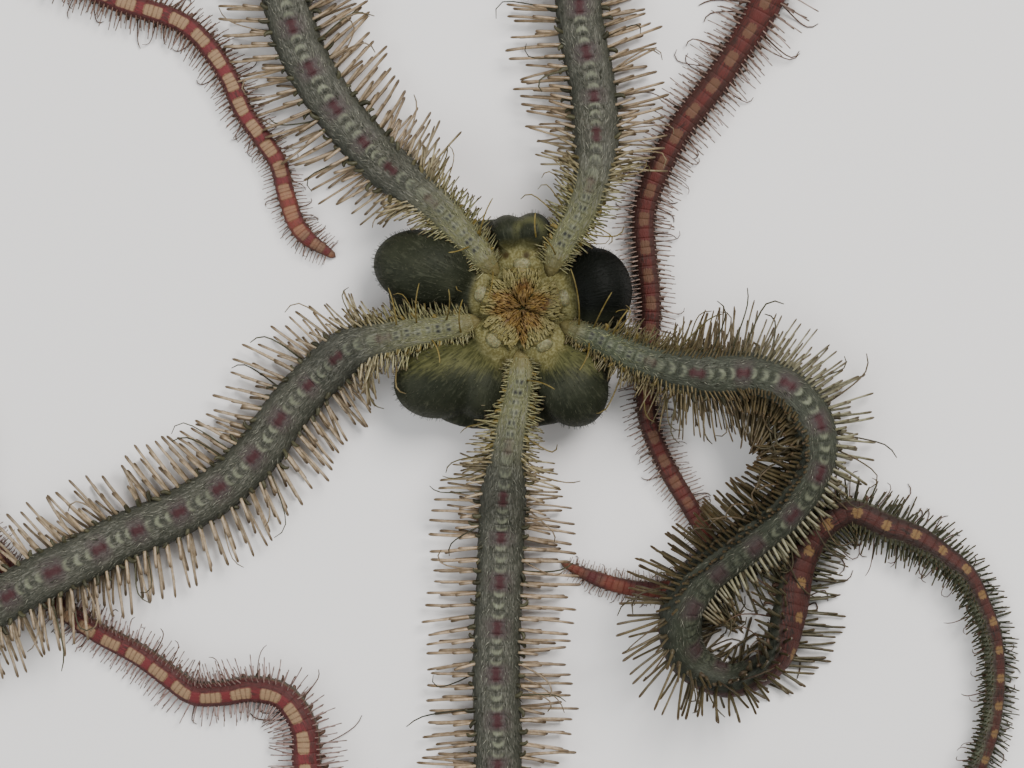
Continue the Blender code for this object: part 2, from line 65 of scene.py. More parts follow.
# Plain pale floor that the animal rests on, one wide sheet in one even, dull tone.
def new_material(name, roughness=0.5):
    mat = bpy.data.materials.new(name)
    mat.use_nodes = True
    shader = mat.node_tree.nodes["Principled BSDF"]
    shader.inputs["Roughness"].default_value = roughness
    return mat, mat.node_tree, shader


def link_mesh(name, mesh):
    obj = bpy.data.objects.new(name, mesh)
    bpy.context.scene.collection.objects.link(obj)
    return obj


def mesh_from(shape, name):
    """The mesh of a finished shape."""
    mesh = bpy.data.meshes.new(name)
    shape.to_mesh(mesh)
    shape.free()
    return mesh


FLOOR_HALF = 0.6
FLOOR_COLOUR = (0.74, 0.71, 0.70, 1.0)
floor_shape = bmesh.new()
bmesh.ops.create_grid(floor_shape, x_segments=2, y_segments=2, size=FLOOR_HALF)
floor = link_mesh("floor", mesh_from(floor_shape, "floor"))
floor_mat, _, floor_shader = new_material("pale_floor", 0.85)
floor_shader.inputs["Base Color"].default_value = FLOOR_COLOUR
floor.data.materials.append(floor_mat)


# Soft studio light: a broad lamp above and to the right, a weaker one from the left
# below it, and an even pale surround.
def soft_lamp(name, place, size, watts, colour):
    """A round lamp turned towards the mouth."""
    lamp = bpy.data.lights.new(name, "AREA")
    lamp.shape = "DISK"
    lamp.size = size
    lamp.energy = watts
    lamp.color = colour
    obj = bpy.data.objects.new(name, lamp)
    obj.location = place
    obj.rotation_euler = Vector(place).to_track_quat("Z", "Y").to_euler()
    bpy.context.scene.collection.objects.link(obj)


soft_lamp("key_lamp", (0.22, 0.26, 0.42), size=0.30, watts=4.2, colour=(1.0, 0.985, 0.96))
soft_lamp("fill_lamp", (-0.34, -0.12, 0.34), size=0.40, watts=1.6, colour=(0.94, 0.98, 1.0))
world = bpy.data.worlds.new("surround")
world.use_nodes = True
surround = world.node_tree.nodes["Background"]
surround.inputs["Color"].default_value = (0.93, 0.97, 0.96, 1.0)
surround.inputs["Strength"].default_value = 0.62
bpy.context.scene.world = world


# The five arms: limy plates under a thin skin, jointed about every 0.8 mm, running from
# the mouth slits across the disc and out in loose bends to their tips. Each route is in
# millimetres in plan, from the mouth outwards, with the height of the arm's underside
# above the floor and its turn about itself by distance from the mouth. A dense arm has
# closer combs on its first segments.
ARM_START = 2.9
ARM_WIDTH = ((2.9, 1.6), (6.0, 2.1), (9.0, 2.5), (14.0, 3.3), (38.0, 3.4),
             (48.0, 3.0), (60.0, 2.0), (83.0, 1.45), (96.0, 1.25), (110.0, 1.0))
TIP_TAPER = 3.2
START_TAPER = 1.5
DEPTH_SHARE = 0.78
BASE_LIFT = 2.95
SEGMENT_LENGTH = ((0.0, 0.64), (14.0, 0.80), (50.0, 0.80), (80.0, 0.64), (108.0, 0.42))
ARMS = {
    "arm_left": {
        "route": ((-2.8, -0.8), (-4.3, -1.2), (-8.5, -1.9), (-11.8, -2.8), (-14.1, -4.7), (-16.4, -7.2),
                  (-18.1, -9.7), (-20.6, -12.2), (-24.3, -14.4), (-27.8, -15.9), (-30.6, -17.4),
                  (-33.2, -18.6), (-35.7, -20.1), (-40.1, -22.9), (-45.5, -25.6), (-51.5, -26.0),
                  (-57.0, -22.8), (-59.6, -17.0), (-58.6, -10.6), (-54.2, -6.2), (-48.6, -5.6),
                  (-44.8, -8.8), (-45.4, -13.0), (-48.6, -14.4)),
        "lift": ((2.9, BASE_LIFT), (9.5, BASE_LIFT), (16.0, 0.0), (32.0, 0.0), (39.5, 2.0),
                 (43.0, 2.0), (50.0, 0.0)),
        "roll": ((2.9, 0.0),),
        "lengths": 7, "spine_tone": (0.275, 0.203, 0.125),
        "far_tone": (0.26, 0.175, 0.14), "long_feet": 0.16, "lean": 17.0},
    "arm_lower": {
        "route": ((-0.05, -2.8), (-0.1, -4.3), (-0.8, -8.6), (-1.2, -11.9), (-1.4, -14.8), (-1.5, -18.1),
                  (-1.7, -22.0), (-1.8, -25.4), (-1.7, -31.7), (-2.6, -37.0), (-6.2, -40.8),
                  (-11.0, -40.6), (-14.2, -36.9), (-15.0, -31.7), (-15.2, -29.2), (-16.7, -27.0),
                  (-18.8, -26.5), (-21.0, -26.8), (-22.8, -26.8), (-24.6, -25.6), (-26.4, -24.3),
                  (-29.7, -22.5), (-32.6, -20.5), (-36.2, -17.6), (-38.4, -13.6), (-38.6, -9.0),
                  (-40.4, -5.2), (-42.8, -2.6)),
        "lift": ((2.9, BASE_LIFT), (9.5, BASE_LIFT), (16.0, 0.0)),
        "roll": ((34.0, 0.0), (52.0, 180.0), (64.0, 200.0)),
        "lengths": 7, "spine_tone": (0.275, 0.196, 0.120),
        "far_tone": (0.25, 0.165, 0.14), "long_feet": 0.20, "lean": 5.0},
    "arm_right": {
        "route": ((2.6, -1.1), (4.6, -1.9), (7.4, -3.2), (9.9, -4.1), (12.7, -4.6), (15.7, -4.7),
                  (18.3, -5.8), (19.9, -7.9), (20.2, -9.7), (19.5, -11.9), (18.0, -13.9), (15.4, -16.1),
                  (12.3, -18.6), (11.0, -21.0), (11.6, -24.2), (14.4, -25.8), (17.4, -24.4),
                  (18.6, -21.2), (19.4, -17.8), (21.0, -15.2), (22.9, -14.2), (25.4, -15.2),
                  (27.7, -16.1), (29.4, -17.3), (31.0, -18.7), (31.9, -20.5), (32.7, -22.6),
                  (33.0, -24.6), (33.0, -26.7), (32.6, -29.6), (31.9, -31.6), (30.4, -35.0),
                  (27.2, -37.4), (23.2, -37.2), (20.4, -34.8), (16.8, -34.0), (13.6, -36.0)),
        "lift": ((2.9, BASE_LIFT), (11.0, BASE_LIFT), (17.0, 2.0), (38.0, 2.0), (44.0, 0.0)),
        "roll": ((13.0, 0.0), (21.0, 24.0), (27.0, 36.0), (38.0, 36.0), (60.0, 180.0), (72.0, 216.0)),
        "lengths": 9, "spine_tone": (0.100, 0.073, 0.034),
        "far_tone": (0.045, 0.042, 0.020), "long_feet": 0.45, "lean": 9.0, "dense": 46,
        "girth": ((8.0, 1.0), (14.0, 0.62), (18.0, 0.64), (23.0, 0.92), (44.0, 0.90), (56.0, 1.5))},
    "arm_upper_left": {
        "route": ((-1.7, 2.2), (-2.2, 2.8), (-3.6, 4.5), (-5.5, 6.6), (-9.4, 9.9), (-13.0, 14.0),
                  (-15.6, 18.6), (-16.8, 23.6), (-17.4, 29.4), (-20.4, 35.4), (-26.6, 38.4),
                  (-33.0, 36.4), (-35.6, 30.6), (-33.6, 24.6), (-28.4, 21.6), (-23.2, 19.6),
                  (-20.4, 16.0), (-19.4, 13.7), (-18.0, 11.7), (-17.0, 10.1), (-16.5, 8.1),
                  (-15.4, 5.4), (-13.0, 3.6)),
        "lift": ((2.9, BASE_LIFT), (9.5, BASE_LIFT), (16.0, 0.0)),
        "roll": ((40.0, 0.0), (62.0, 180.0)),
        "lengths": 7, "spine_tone": (0.250, 0.180, 0.108),
        "far_tone": (0.15, 0.085, 0.06), "long_feet": 0.22, "lean": 13.0},
    "arm_upper_right": {
        "route": ((1.8, 2.2), (2.7, 4.3), (3.9, 6.3), (4.9, 9.5), (5.0, 14.5), (4.0, 20.5), (4.4, 27.0),
                  (8.0, 32.4), (13.6, 33.2), (17.6, 29.0), (17.4, 22.6), (14.2, 16.8), (10.6, 11.8),
                  (8.5, 6.4), (8.7, 3.2), (9.0, 0.1), (8.7, -4.0), (8.9, -8.0), (10.2, -11.2),
                  (11.9, -14.1), (12.9, -16.0), (12.8, -18.1), (11.1, -19.3), (9.0, -19.6),
                  (6.7, -19.3), (4.6, -18.6), (2.7, -17.7)),
        "lift": ((2.9, BASE_LIFT), (9.5, BASE_LIFT), (16.0, 0.0)),
        "roll": ((26.0, 0.0), (46.0, 180.0)),
        "lengths": 8, "spine_tone": (0.240, 0.170, 0.100),
        "far_tone": (0.23, 0.155, 0.125), "long_feet": 0.22, "lean": 11.0},
}


def eased(stations, distances):
    """Values at distances, easing from one (distance, value) station to the next."""
    places = np.array([s[0] for s in stations], dtype=float)
    values = np.array([s[1] for s in stations], dtype=float)
    if len(places) == 1:
        return np.full(np.shape(distances), values[0])
    distances = np.clip(distances, places[0], places[-1])
    at = np.clip(np.searchsorted(places, distances) - 1, 0, len(places) - 2)
    share = (distances - places[at]) / (places[at + 1] - places[at])
    return values[at] + (values[at + 1] - values[at]) * share * share * (3.0 - 2.0 * share)


def smooth_path(points, step=0.1):
    """Even samples of a smooth curve through the given points in plan."""
    knots = np.array(points, dtype=float)
    spans = np.linalg.norm(np.diff(knots, axis=0), axis=1)
    slopes = np.diff(knots, axis=0) / spans[:, None]
    tangents = np.vstack([slopes[:1], slopes])
    for i in range(1, len(spans)):
        weighted = slopes[i] * spans[i - 1] + slopes[i - 1] * spans[i]
        tangents[i] = weighted / (spans[i] + spans[i - 1])
    pieces = []
    for i, span in enumerate(spans):
        u = np.linspace(0.0, 1.0, max(3, int(span / step)), endpoint=False)[:, None]
        pieces.append((2 * u**3 - 3 * u**2 + 1) * knots[i]
                      + (u**3 - 2 * u**2 + u) * span * tangents[i]
                      + (3 * u**2 - 2 * u**3) * knots[i + 1]
                      + (u**3 - u**2) * span * tangents[i + 1])
    pieces.append(knots[-1:])
    return np.concatenate(pieces)


class ArmLine:
    """The middle line of an arm, read at any distances from the mouth, in millimetres."""

    def __init__(self, plan):
        self.plan = {"dense": 0, "girth": ((0.0, 1.0),), **plan}
        self.path = smooth_path(plan["route"])
        steps = np.linalg.norm(np.diff(self.path, axis=0), axis=1)
        self.marks = ARM_START + np.concatenate([[0.0], np.cumsum(steps)])
        self.end = float(self.marks[-1])
        fine = np.linspace(ARM_START, self.end, 2000)
        counts = np.cumsum(np.gradient(fine) / eased(SEGMENT_LENGTH, fine))
        self.fine, self.counts = fine, counts - counts[0]

    def segments(self, distances):
        return np.interp(distances, self.fine, self.counts)

    def distance_at(self, segments):
        return np.interp(segments, self.counts, self.fine)

    def half_sizes(self, distances):
        blunt = np.sqrt(np.clip((self.end + 0.3 - distances) / TIP_TAPER, 0.05, 1.0))
        nose = np.sqrt(np.clip((distances - ARM_START + 0.10) / START_TAPER, 0.10, 1.0))
        half_width = 0.5 * eased(ARM_WIDTH, distances) * blunt * nose
        return half_width, half_width * DEPTH_SHARE

    def centres(self, distances):
        x = np.interp(distances, self.marks, self.path[:, 0])
        y = np.interp(distances, self.marks, self.path[:, 1])
        half_width, half_depth = self.half_sizes(distances)
        turn = np.radians(eased(self.plan["roll"], distances))
        reach_down = np.hypot(half_depth * np.cos(turn), half_width * np.sin(turn))
        return np.stack([x, y, eased(self.plan["lift"], distances) + reach_down], axis=-1)

    def frames(self, distances):
        """Centres, outward directions, side directions and oral directions."""
        before = self.centres(np.maximum(distances - 0.3, ARM_START))
        after = self.centres(np.minimum(distances + 0.3, self.end))
        along = after - before
        along /= np.linalg.norm(along, axis=-1, keepdims=True)
        side = np.cross(along, np.array([0.0, 0.0, 1.0]))
        side /= np.linalg.norm(side, axis=-1, keepdims=True)
        up = np.cross(side, along)
        turn = np.radians(eased(self.plan["roll"], distances))[..., None]
        return (self.centres(distances), along, side * np.cos(turn) + up * np.sin(turn),
                up * np.cos(turn) - side * np.sin(turn))

    def at(self, distance):
        """Centre, the three directions, half width and half depth at one distance."""
        place = (value[0] for value in self.frames(np.array([distance])))
        return (*place, *(float(value) for value in self.half_sizes(distance)))


# Skin of the arms over their plates: a row of small ventral plates on the midline of the
# oral side, broad lateral plates that bulge at each joint, and fan-shaped plates on the
# other side. Each arm is one closed tube. The attribute "lay" holds each point's place on
# the arm as if it were straight: distance, side and height in millimetres.
ROWS_PER_SEGMENT = 8
COLUMNS = 36
VENTRAL_HALF_WIDTH = 0.36
FURROW = 0.10
PLATE_THICKNESS = 0.09
FLOOR_TOUCH = 0.02
TIP_LENGTH = 0.25
ROOT_LENGTH = 0.3


def plate_edge(phase, sharp):
    """0 at the joints and 1 on the plate between them."""
    return 1.0 - np.abs(2.0 * phase - 1.0) ** sharp


def arm_section(half_width, half_depth, phase, angle):
    """Side and oral offsets of the skin round one arm, with the relief of its plates."""
    x = np.sign(np.cos(angle)) * np.abs(np.cos(angle)) ** 0.92
    y = np.sign(np.sin(angle)) * np.abs(np.sin(angle)) ** 0.88
    oral = np.clip(np.sin(angle), 0.0, 1.0)
    aboral = np.clip(-np.sin(angle), 0.0, 1.0)
    lateral = np.abs(np.cos(angle))
    swell = 0.975 + 0.025 * plate_edge(phase, 2.0) * lateral**0.5
    side = half_width * x * swell
    height = half_depth * y * (1.0 - 0.10 * oral) * (0.95 + 0.04 * plate_edge(phase, 4.0) * aboral)
    plate_half = np.minimum(VENTRAL_HALF_WIDTH, half_width * 0.34)
    ventral = np.clip((plate_half - np.abs(side)) / FURROW + 0.5, 0.0, 1.0) * (oral > 0.5)
    furrow = np.exp(-((np.abs(side) - plate_half - FURROW) / FURROW) ** 2) * (oral > 0.5)
    thickness = np.minimum(half_depth * 0.10, PLATE_THICKNESS)
    relief = ventral * plate_edge(phase, 6.0) - 1.1 * furrow * plate_edge(phase, 2.0)
    return side, height + thickness * relief


def tube_faces(rows, columns):
    """Faces of a closed tube of rows of points, and of the two points that end it."""
    row = np.arange(rows - 1)[:, None] * columns
    column = np.arange(columns)[None, :]
    after = (column + 1) % columns
    quads = np.stack([row + column, row + after, row + columns + after, row + columns + column], axis=-1)
    faces = quads.reshape(-1, 4).tolist()
    first, last = rows * columns, rows * columns + 1
    top = (rows - 1) * columns
    for k in range(columns):
        j = (k + 1) % columns
        faces.append((first, j, k))
        faces.append((last, top + k, top + j))
    return faces


def add_vectors(mesh, name, values):
    attribute = mesh.attributes.new(name, "FLOAT_VECTOR", "POINT")
    attribute.data.foreach_set("vector", np.asarray(values, dtype=np.float32).ravel())


def add_floats(mesh, name, values):
    attribute = mesh.attributes.new(name, "FLOAT", "POINT")
    attribute.data.foreach_set("value", np.asarray(values, dtype=np.float32).ravel())


def arm_skin(name, line):
    total = float(line.segments(line.end - TIP_LENGTH))
    counts = np.linspace(0.0, total, int(total * ROWS_PER_SEGMENT) + 1)
    distances = line.distance_at(counts)
    centres, along, side, oral = line.frames(distances)
    half_width, half_depth = line.half_sizes(distances)
    angle = 2.0 * np.pi * np.arange(COLUMNS) / COLUMNS
    phase = (counts % 1.0)[:, None]
    across, height = arm_section(half_width[:, None], half_depth[:, None], phase, angle[None, :])
    points = centres[:, None] + side[:, None] * across[..., None] + oral[:, None] * height[..., None]
    points[..., 2] = np.maximum(points[..., 2], FLOOR_TOUCH)
    lay = np.stack([np.broadcast_to(distances[:, None], across.shape), across, height], axis=-1)
    ends = np.array([centres[0] - along[0] * ROOT_LENGTH, line.centres(np.array([line.end]))[0]])
    end_lay = np.array([[ARM_START - ROOT_LENGTH, 0.0, 0.0], [line.end, 0.0, 0.0]])
    mesh = bpy.data.meshes.new(name)
    vertices = np.concatenate([points.reshape(-1, 3), ends]) * MM
    mesh.from_pydata(vertices.tolist(), [], tube_faces(len(counts), COLUMNS))
    add_vectors(mesh, "lay", np.concatenate([lay.reshape(-1, 3), end_lay]))
    add_floats(mesh, "joint", np.concatenate([np.repeat(counts, COLUMNS), [0.0, total]]))
    shape = bmesh.new()
    shape.from_mesh(mesh)
    bmesh.ops.recalc_face_normals(shape, faces=shape.faces)
    shape.to_mesh(mesh)
    shape.free()
    mesh.shade_smooth()
    return link_mesh(name, mesh)


lines = {name: ArmLine(plan) for name, plan in ARMS.items()}
skins = {name: arm_skin(name + "_skin", line) for name, line in lines.items()}


# Markings shared by the arms' materials. The oral side is grey-green, paler by the disc,
# with a maroon plate and three whitish ones in turn down the midline. The other side is
# red-brown with cream plates between red bars.
class Value:
    """An output in a node tree, which can stand in sums."""

    def __init__(self, nodes, socket):
        self.nodes = nodes
        self.socket = socket

    def __add__(self, other):
        return self.nodes.math("ADD", self, other)

    def __radd__(self, other):
        return self.nodes.math("ADD", other, self)

    def __sub__(self, other):
        return self.nodes.math("SUBTRACT", self, other)

    def __rsub__(self, other):
        return self.nodes.math("SUBTRACT", other, self)

    def __mul__(self, other):
        return self.nodes.math("MULTIPLY", self, other)

    def __abs__(self):
        return self.nodes.math("ABSOLUTE", self)


class Nodes:
    """Short ways to add nodes to one tree."""

    def __init__(self, tree):
        self.tree = tree

    def put(self, value, socket):
        """Link an output to a socket, or set the socket to plain numbers."""
        value = value.socket if isinstance(value, Value) else value
        if isinstance(value, bpy.types.NodeSocket):
            self.tree.links.new(value, socket)
        elif socket.type == "RGBA":
            socket.default_value = (*value, 1.0)
        else:
            socket.default_value = value

    def add(self, kind, inputs=(), **settings):
        node = self.tree.nodes.new(kind)
        for key, value in settings.items():
            setattr(node, key, value)
        for key, value in dict(inputs).items():
            self.put(value, node.inputs[key])
        return node

    def value(self, output, kind, inputs=(), **settings):
        """One output of a new node."""
        return Value(self, self.add(kind, inputs, **settings).outputs[output])

    def math(self, operation, a, b=0.0):
        return self.value(0, "ShaderNodeMath", {0: a, 1: b}, operation=operation)

    def step(self, value, low, high):
        """0 below low and 1 above high, or the other way round if low is the larger."""
        return self.value("Result", "ShaderNodeMapRange", {"Value": value, "From Min": low, "From Max": high},
                          interpolation_type="SMOOTHSTEP")

    def mix(self, share, a, b):
        node = self.add("ShaderNodeMix", {"Factor": share}, data_type="RGBA")
        for value, socket in zip((a, b), [s for s in node.inputs if s.type == "RGBA"]):
            self.put(value, socket)
        return Value(self, [s for s in node.outputs if s.type == "RGBA"][0])

    def noise(self, vector, scale, detail=3.0, roughness=0.5):
        return self.value("Fac", "ShaderNodeTexNoise", {"Vector": vector, "Scale": scale, "Detail": detail,
                                                         "Roughness": roughness})

    def scaled(self, vector, scale):
        return self.value("Vector", "ShaderNodeMapping", {"Vector": vector, "Scale": scale})

    def parts(self, vector):
        return [Value(self, part) for part in self.add("ShaderNodeSeparateXYZ", {0: vector}).outputs]

    def attribute(self, name, output="Fac"):
        return self.value(output, "ShaderNodeAttribute", attribute_name=name)

    def gap(self, across, along):
        """How far a point lies from the origin of two directions."""
        return self.math("SQRT", across * across + along * along)

    def finish(self, shader, colour, height, strength, depth):
        """Give a surface its colour and a relief of a depth in millimetres."""
        relief = {"Height": height, "Strength": strength, "Distance": depth * MM}
        self.put(colour, shader.inputs["Base Color"])
        self.put(self.value("Normal", "ShaderNodeBump", relief), shader.inputs["Normal"])


def new_group(name, kind, inputs, outputs):
    """Empty node group with named inputs, each with its kind and value, and named outputs."""
    tree = bpy.data.node_groups.new(name, kind)
    for label, (socket_kind, value) in inputs.items():
        socket = tree.interface.new_socket(label, in_out="INPUT", socket_type="NodeSocket" + socket_kind)
        if value is not None:
            socket.default_value = (*value, 1.0) if socket_kind == "Color" else value
    for label, socket_kind in outputs.items():
        tree.interface.new_socket(label, in_out="OUTPUT", socket_type="NodeSocket" + socket_kind)
    n = Nodes(tree)
    source = tree.nodes.new("NodeGroupInput")
    given = {label: Value(n, source.outputs[label]) for label in inputs}
    return n, given, tree.nodes.new("NodeGroupOutput")


SKIN_TONES = {
    "Near Cream": (0.118, 0.116, 0.050), "Grey Green": (0.047, 0.046, 0.034),
    "Pale Fibre": (0.125, 0.120, 0.098), "Dark Fibre": (0.015, 0.016, 0.010),
    "Maroon": (0.036, 0.007, 0.009), "Whitish": (0.215, 0.225, 0.150),
    "Back Red": (0.115, 0.016, 0.018), "Back Dark": (0.044, 0.014, 0.012), "Back Cream": (0.25, 0.165, 0.090),
    "Cream Share": 0.75, "Bar Half": 0.16, "Back Shift": 0.0, "Flank Pale": 0.0, "Ragged": 0.35,
    "Marks End": 200.0,
}
FLANK_BUFF = (0.125, 0.130, 0.085)
MAROON_TINGE = (0.047, 0.026, 0.030)
FOOT_PIT = (0.018, 0.018, 0.016)
SLIT_AMBER = (0.112, 0.086, 0.026)
BACK_FLANK = (0.110, 0.078, 0.030)
BEAD_SEAM = (0.085, 0.040, 0.024)
TIP_DARK = (0.048, 0.012, 0.013)
TIP_RED = (0.150, 0.036, 0.022)


def arm_markings_group():
    kinds = {key: ("Color" if isinstance(tone, tuple) else "Float", tone) for key, tone in SKIN_TONES.items()}
    n, given, put = new_group("arm_markings", "ShaderNodeTree", kinds,
                              {"Color": "Color", "Height": "Float", "Roughness": "Float"})
    lay = n.attribute("lay", "Vector")
    joint = n.attribute("joint")
    distance, side, height = n.parts(lay)
    off = abs(side)
    phase = n.math("FRACT", joint)
    seam = abs(phase - 0.5)
    fibre = n.noise(n.scaled(lay, (1.9, 10.0, 10.0)), 1.0, 3.0, 0.6)
    speck = n.noise(n.scaled(lay, (7.0, 7.0, 7.0)), 1.0, 3.0, 0.6)
    cloud = n.noise(n.scaled(lay, (0.55, 0.9, 0.9)), 1.0, 2.0, 0.5)
    tuft = n.noise(n.scaled(lay, (3.6, 13.0, 13.0)), 1.0, 2.0, 0.6)

    far = n.step(distance, 5.0, 12.0)
    flesh = n.mix(far, given["Near Cream"], given["Grey Green"])
    flesh = n.mix(n.step(cloud, 0.35, 0.7) * 0.35, flesh, given["Dark Fibre"])
    flesh = n.mix(n.step(fibre, 0.48, 0.66) * 0.7, flesh, given["Pale Fibre"])
    dark_share = far * 0.5 + 0.3
    flesh = n.mix(n.step(tuft, 0.5, 0.36) * dark_share, flesh, given["Dark Fibre"])
    rim = n.step(off + cloud * 0.7, 1.2, 2.0)
    flesh = n.mix(rim * far * 0.62, flesh, given["Dark Fibre"])
    flank_share = n.step(distance, 50.0, 62.0) * given["Flank Pale"]
    flesh = n.mix(flank_share, flesh, FLANK_BUFF)

    row = joint + 0.5
    turn = n.math("FRACT", row * 0.25)
    spot = abs(turn - 0.5) * 4.0
    wander = (speck - 0.5) * 0.34
    past = n.step(distance - given["Marks End"], 4.0, -4.0)
    shown = past * 0.72 + 0.28
    there = n.step(distance, 7.0, 13.0) * 0.9 * shown
    tinge = n.step(spot, 1.25, 0.45) * n.step(off, 1.35, 0.2)
    tinge = tinge * n.step(distance, 11.0, 18.0)
    flesh = n.mix(tinge * 0.62, flesh, MAROON_TINGE)
    bow = off * off * 1.6
    arc = abs(phase + bow - 0.62)
    crescent = n.step(arc + wander, 0.31, 0.03) * n.step(off, 0.5, 0.25)
    crescent = crescent * (n.step(spot, 0.6, 1.2) * 0.62 + 0.06)
    crescent = crescent * (n.step(cloud, 0.36, 0.58) * 0.45 + 0.55)
    near_plate = n.step(seam, 0.54, 0.1) * n.step(off + wander, 0.6, 0.1)
    near_plate = near_plate * (n.step(tuft, 0.34, 0.6) * 0.5 + 0.1)
    pale = n.mix(n.step(distance, 9.0, 12.0), near_plate, crescent)
    pale_share = pale * (shown * 0.72)
    oral_colour = n.mix(pale_share, flesh, given["Whitish"])
    core = n.step(off, 0.15, 0.03) * n.step(phase, 0.45, 0.15)
    core = core * n.step(distance, 9.5, 12.0)
    oral_colour = n.mix(core * 0.7, oral_colour, given["Dark Fibre"])
    limbs = abs(spot - 0.3)
    cross = n.step(limbs + wander, 0.26, 0.08) * n.step(off, 0.46, 0.24)
    heart = n.step(spot + wander, 0.84, 0.4) * n.step(off + wander, 0.36, 0.1)
    maroon = n.math("MAXIMUM", cross * 0.7, heart)
    oral_colour = n.mix(maroon * there, oral_colour, given["Maroon"])
    pit_off = abs(off - 0.16) + wander * 0.6
    pit = n.step(pit_off, 0.19, 0.01) * n.step(seam, 0.34, 0.06)
    pit = pit * (n.step(distance, 14.0, 9.0) * n.step(distance, 4.2, 5.2))
    oral_colour = n.mix(pit * n.step(cloud, 0.3, 0.6), oral_colour, FOOT_PIT)
    slit = n.step(distance + wander * 3.0, 5.4, 3.0)
    oral_colour = n.mix(slit * 0.75, oral_colour, SLIT_AMBER)

    bar_turn = n.math("FRACT", joint * 0.3334)
    bar = n.step(abs(bar_turn - 0.5) + wander * given["Ragged"], given["Bar Half"] + 0.08,
                 given["Bar Half"] - 0.08)
    strip_half = (0.28 + cloud * 0.35) * given["Cream Share"]
    ragged = off - strip_half + wander * given["Ragged"]
    strip = n.step(ragged, 0.20, -0.16)
    cream = n.step(strip * (1.0 - bar), 0.16, 0.62)
    back = n.mix(n.step(fibre, 0.42, 0.62), given["Back Red"], given["Back Dark"])
    bar_red = bar * (n.step(off, 0.7, 0.4) * n.step(cloud, 0.66, 0.4))
    back = n.mix(bar_red, back, given["Back Red"])
    border = n.step(off - strip_half, -0.02, 0.16) * n.step(distance, 52.0, 62.0)
    back = n.mix(border * 0.72, back, given["Back Dark"])
    back = n.mix(cream * 0.8, back, given["Back Cream"])
    flank = n.step(height, -0.34, -0.06) * n.step(tuft, 0.36, 0.6)
    back = n.mix(flank * 0.55, back, BACK_FLANK)
    gap = abs(n.math("FRACT", joint * 2.0) - 0.5)
    bead = n.step(gap + off * 0.25, 0.34, 0.56) * cream
    back = n.mix(bead * 0.75, back, BEAD_SEAM)
    edge = height + (speck - 0.5) * 0.5
    back_side = n.step(edge + given["Back Shift"], 0.12, -0.28)
    tip_tone = n.mix(n.step(cloud, 0.40, 0.62), TIP_DARK, TIP_RED)
    back = n.mix(n.step(distance, 88.0, 98.0) * 0.55, back, tip_tone)
    n.put(n.mix(back_side, oral_colour, back), put.inputs["Color"])

    bumps = fibre * 0.6 + tuft * 0.6
    groove = n.step(seam, 0.38, 0.5) * n.math("MAXIMUM", n.step(off, 0.55, 0.4), back_side)
    groove = groove * (far * 0.25 + 0.1)
    bumps = bumps - groove
    n.put(bumps, put.inputs["Height"])
    n.put(speck * 0.3 + 0.42, put.inputs["Roughness"])
    return n.tree


arm_markings = arm_markings_group()


def skin_material(name, values):
    mat, tree, shader = new_material(name)
    n = Nodes(tree)
    group = n.add("ShaderNodeGroup", values, node_tree=arm_markings)
    n.finish(shader, group.outputs["Color"], group.outputs["Height"], 0.9, 0.09)
    n.put(group.outputs["Roughness"], shader.inputs["Roughness"])
    shader.inputs["Specular IOR Level"].default_value = 0.22
    shader.inputs["Subsurface Weight"].default_value = 0.08
    shader.inputs["Subsurface Radius"].default_value = (1.0, 0.7, 0.5)
    shader.inputs["Subsurface Scale"].default_value = 0.0004
    return mat


ARM_TONES = {
    "arm_right": {"Back Red": (0.044, 0.010, 0.007), "Back Dark": (0.012, 0.006, 0.004),
                  "Back Cream": (0.150, 0.088, 0.032), "Cream Share": 0.66, "Bar Half": 0.37, "Ragged": 1.1,
                  "Back Shift": 0.32, "Flank Pale": 0.62, "Marks End": 30.0,
                  "Grey Green": (0.026, 0.029, 0.018), "Pale Fibre": (0.068, 0.072, 0.052),
                  "Near Cream": (0.038, 0.046, 0.021)},
    "arm_upper_right": {"Cream Share": 0.62, "Bar Half": 0.27, "Ragged": 0.8,
                        "Back Red": (0.072, 0.014, 0.011), "Back Dark": (0.027, 0.011, 0.008),
                        "Back Cream": (0.100, 0.050, 0.028)},
}
for arm_name, skin in skins.items():
    skin.data.materials.append(skin_material(arm_name + "_skin", ARM_TONES.get(arm_name, {})))
    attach(skin, "root")
    nodes = [f"{arm_name}_{k + 1}" for k in range(ARMS[arm_name]["lengths"])]
    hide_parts(*nodes)


# Spines of the arms: glassy limy rods, blunt and dark at the end, set in a comb on the
# lateral plates at each side of every joint. Four or five stand for the six or seven of
# a comb, and where an arm lies on the floor the lowest are pressed level.
SPINE_REACH = ((2.9, 0.7), (9.0, 1.6), (12.5, 3.3), (16.0, 3.8), (45.0, 3.9), (62.0, 1.8), (83.0, 1.3),
               (96.0, 1.0), (110.0, 0.6))
SPINE_THICKNESS = ((2.9, 0.040), (9.0, 0.058), (13.0, 0.105), (16.0, 0.122), (45.0, 0.120), (58.0, 0.046),
                   (110.0, 0.030))
COMB = ((-36.0, 0.56), (-17.0, 0.80), (0.0, 1.0), (20.0, 0.50), (42.0, 0.36))
SPINE_SHARES = (0.0, 0.3, 0.7, 0.9, 0.965, 1.0)
SPINE_GIRTH = ((0.0, 1.15), (0.1, 1.0), (0.7, 0.84), (0.88, 0.88), (0.955, 1.0), (1.0, 0.42))
BAKE_PATCH = 0.003
SPINE_SEED = 11


def slow_wave(rng, count, length):
    """Smooth wandering values from -1 to 1, turning about once every length steps."""
    knots = rng.uniform(-1.0, 1.0, int(count / length) + 4)
    at = np.arange(count) / length
    low = at.astype(int)
    share = at - low
    share = share * share * (3.0 - 2.0 * share)
    return knots[low] * (1.0 - share) + knots[low + 1] * share


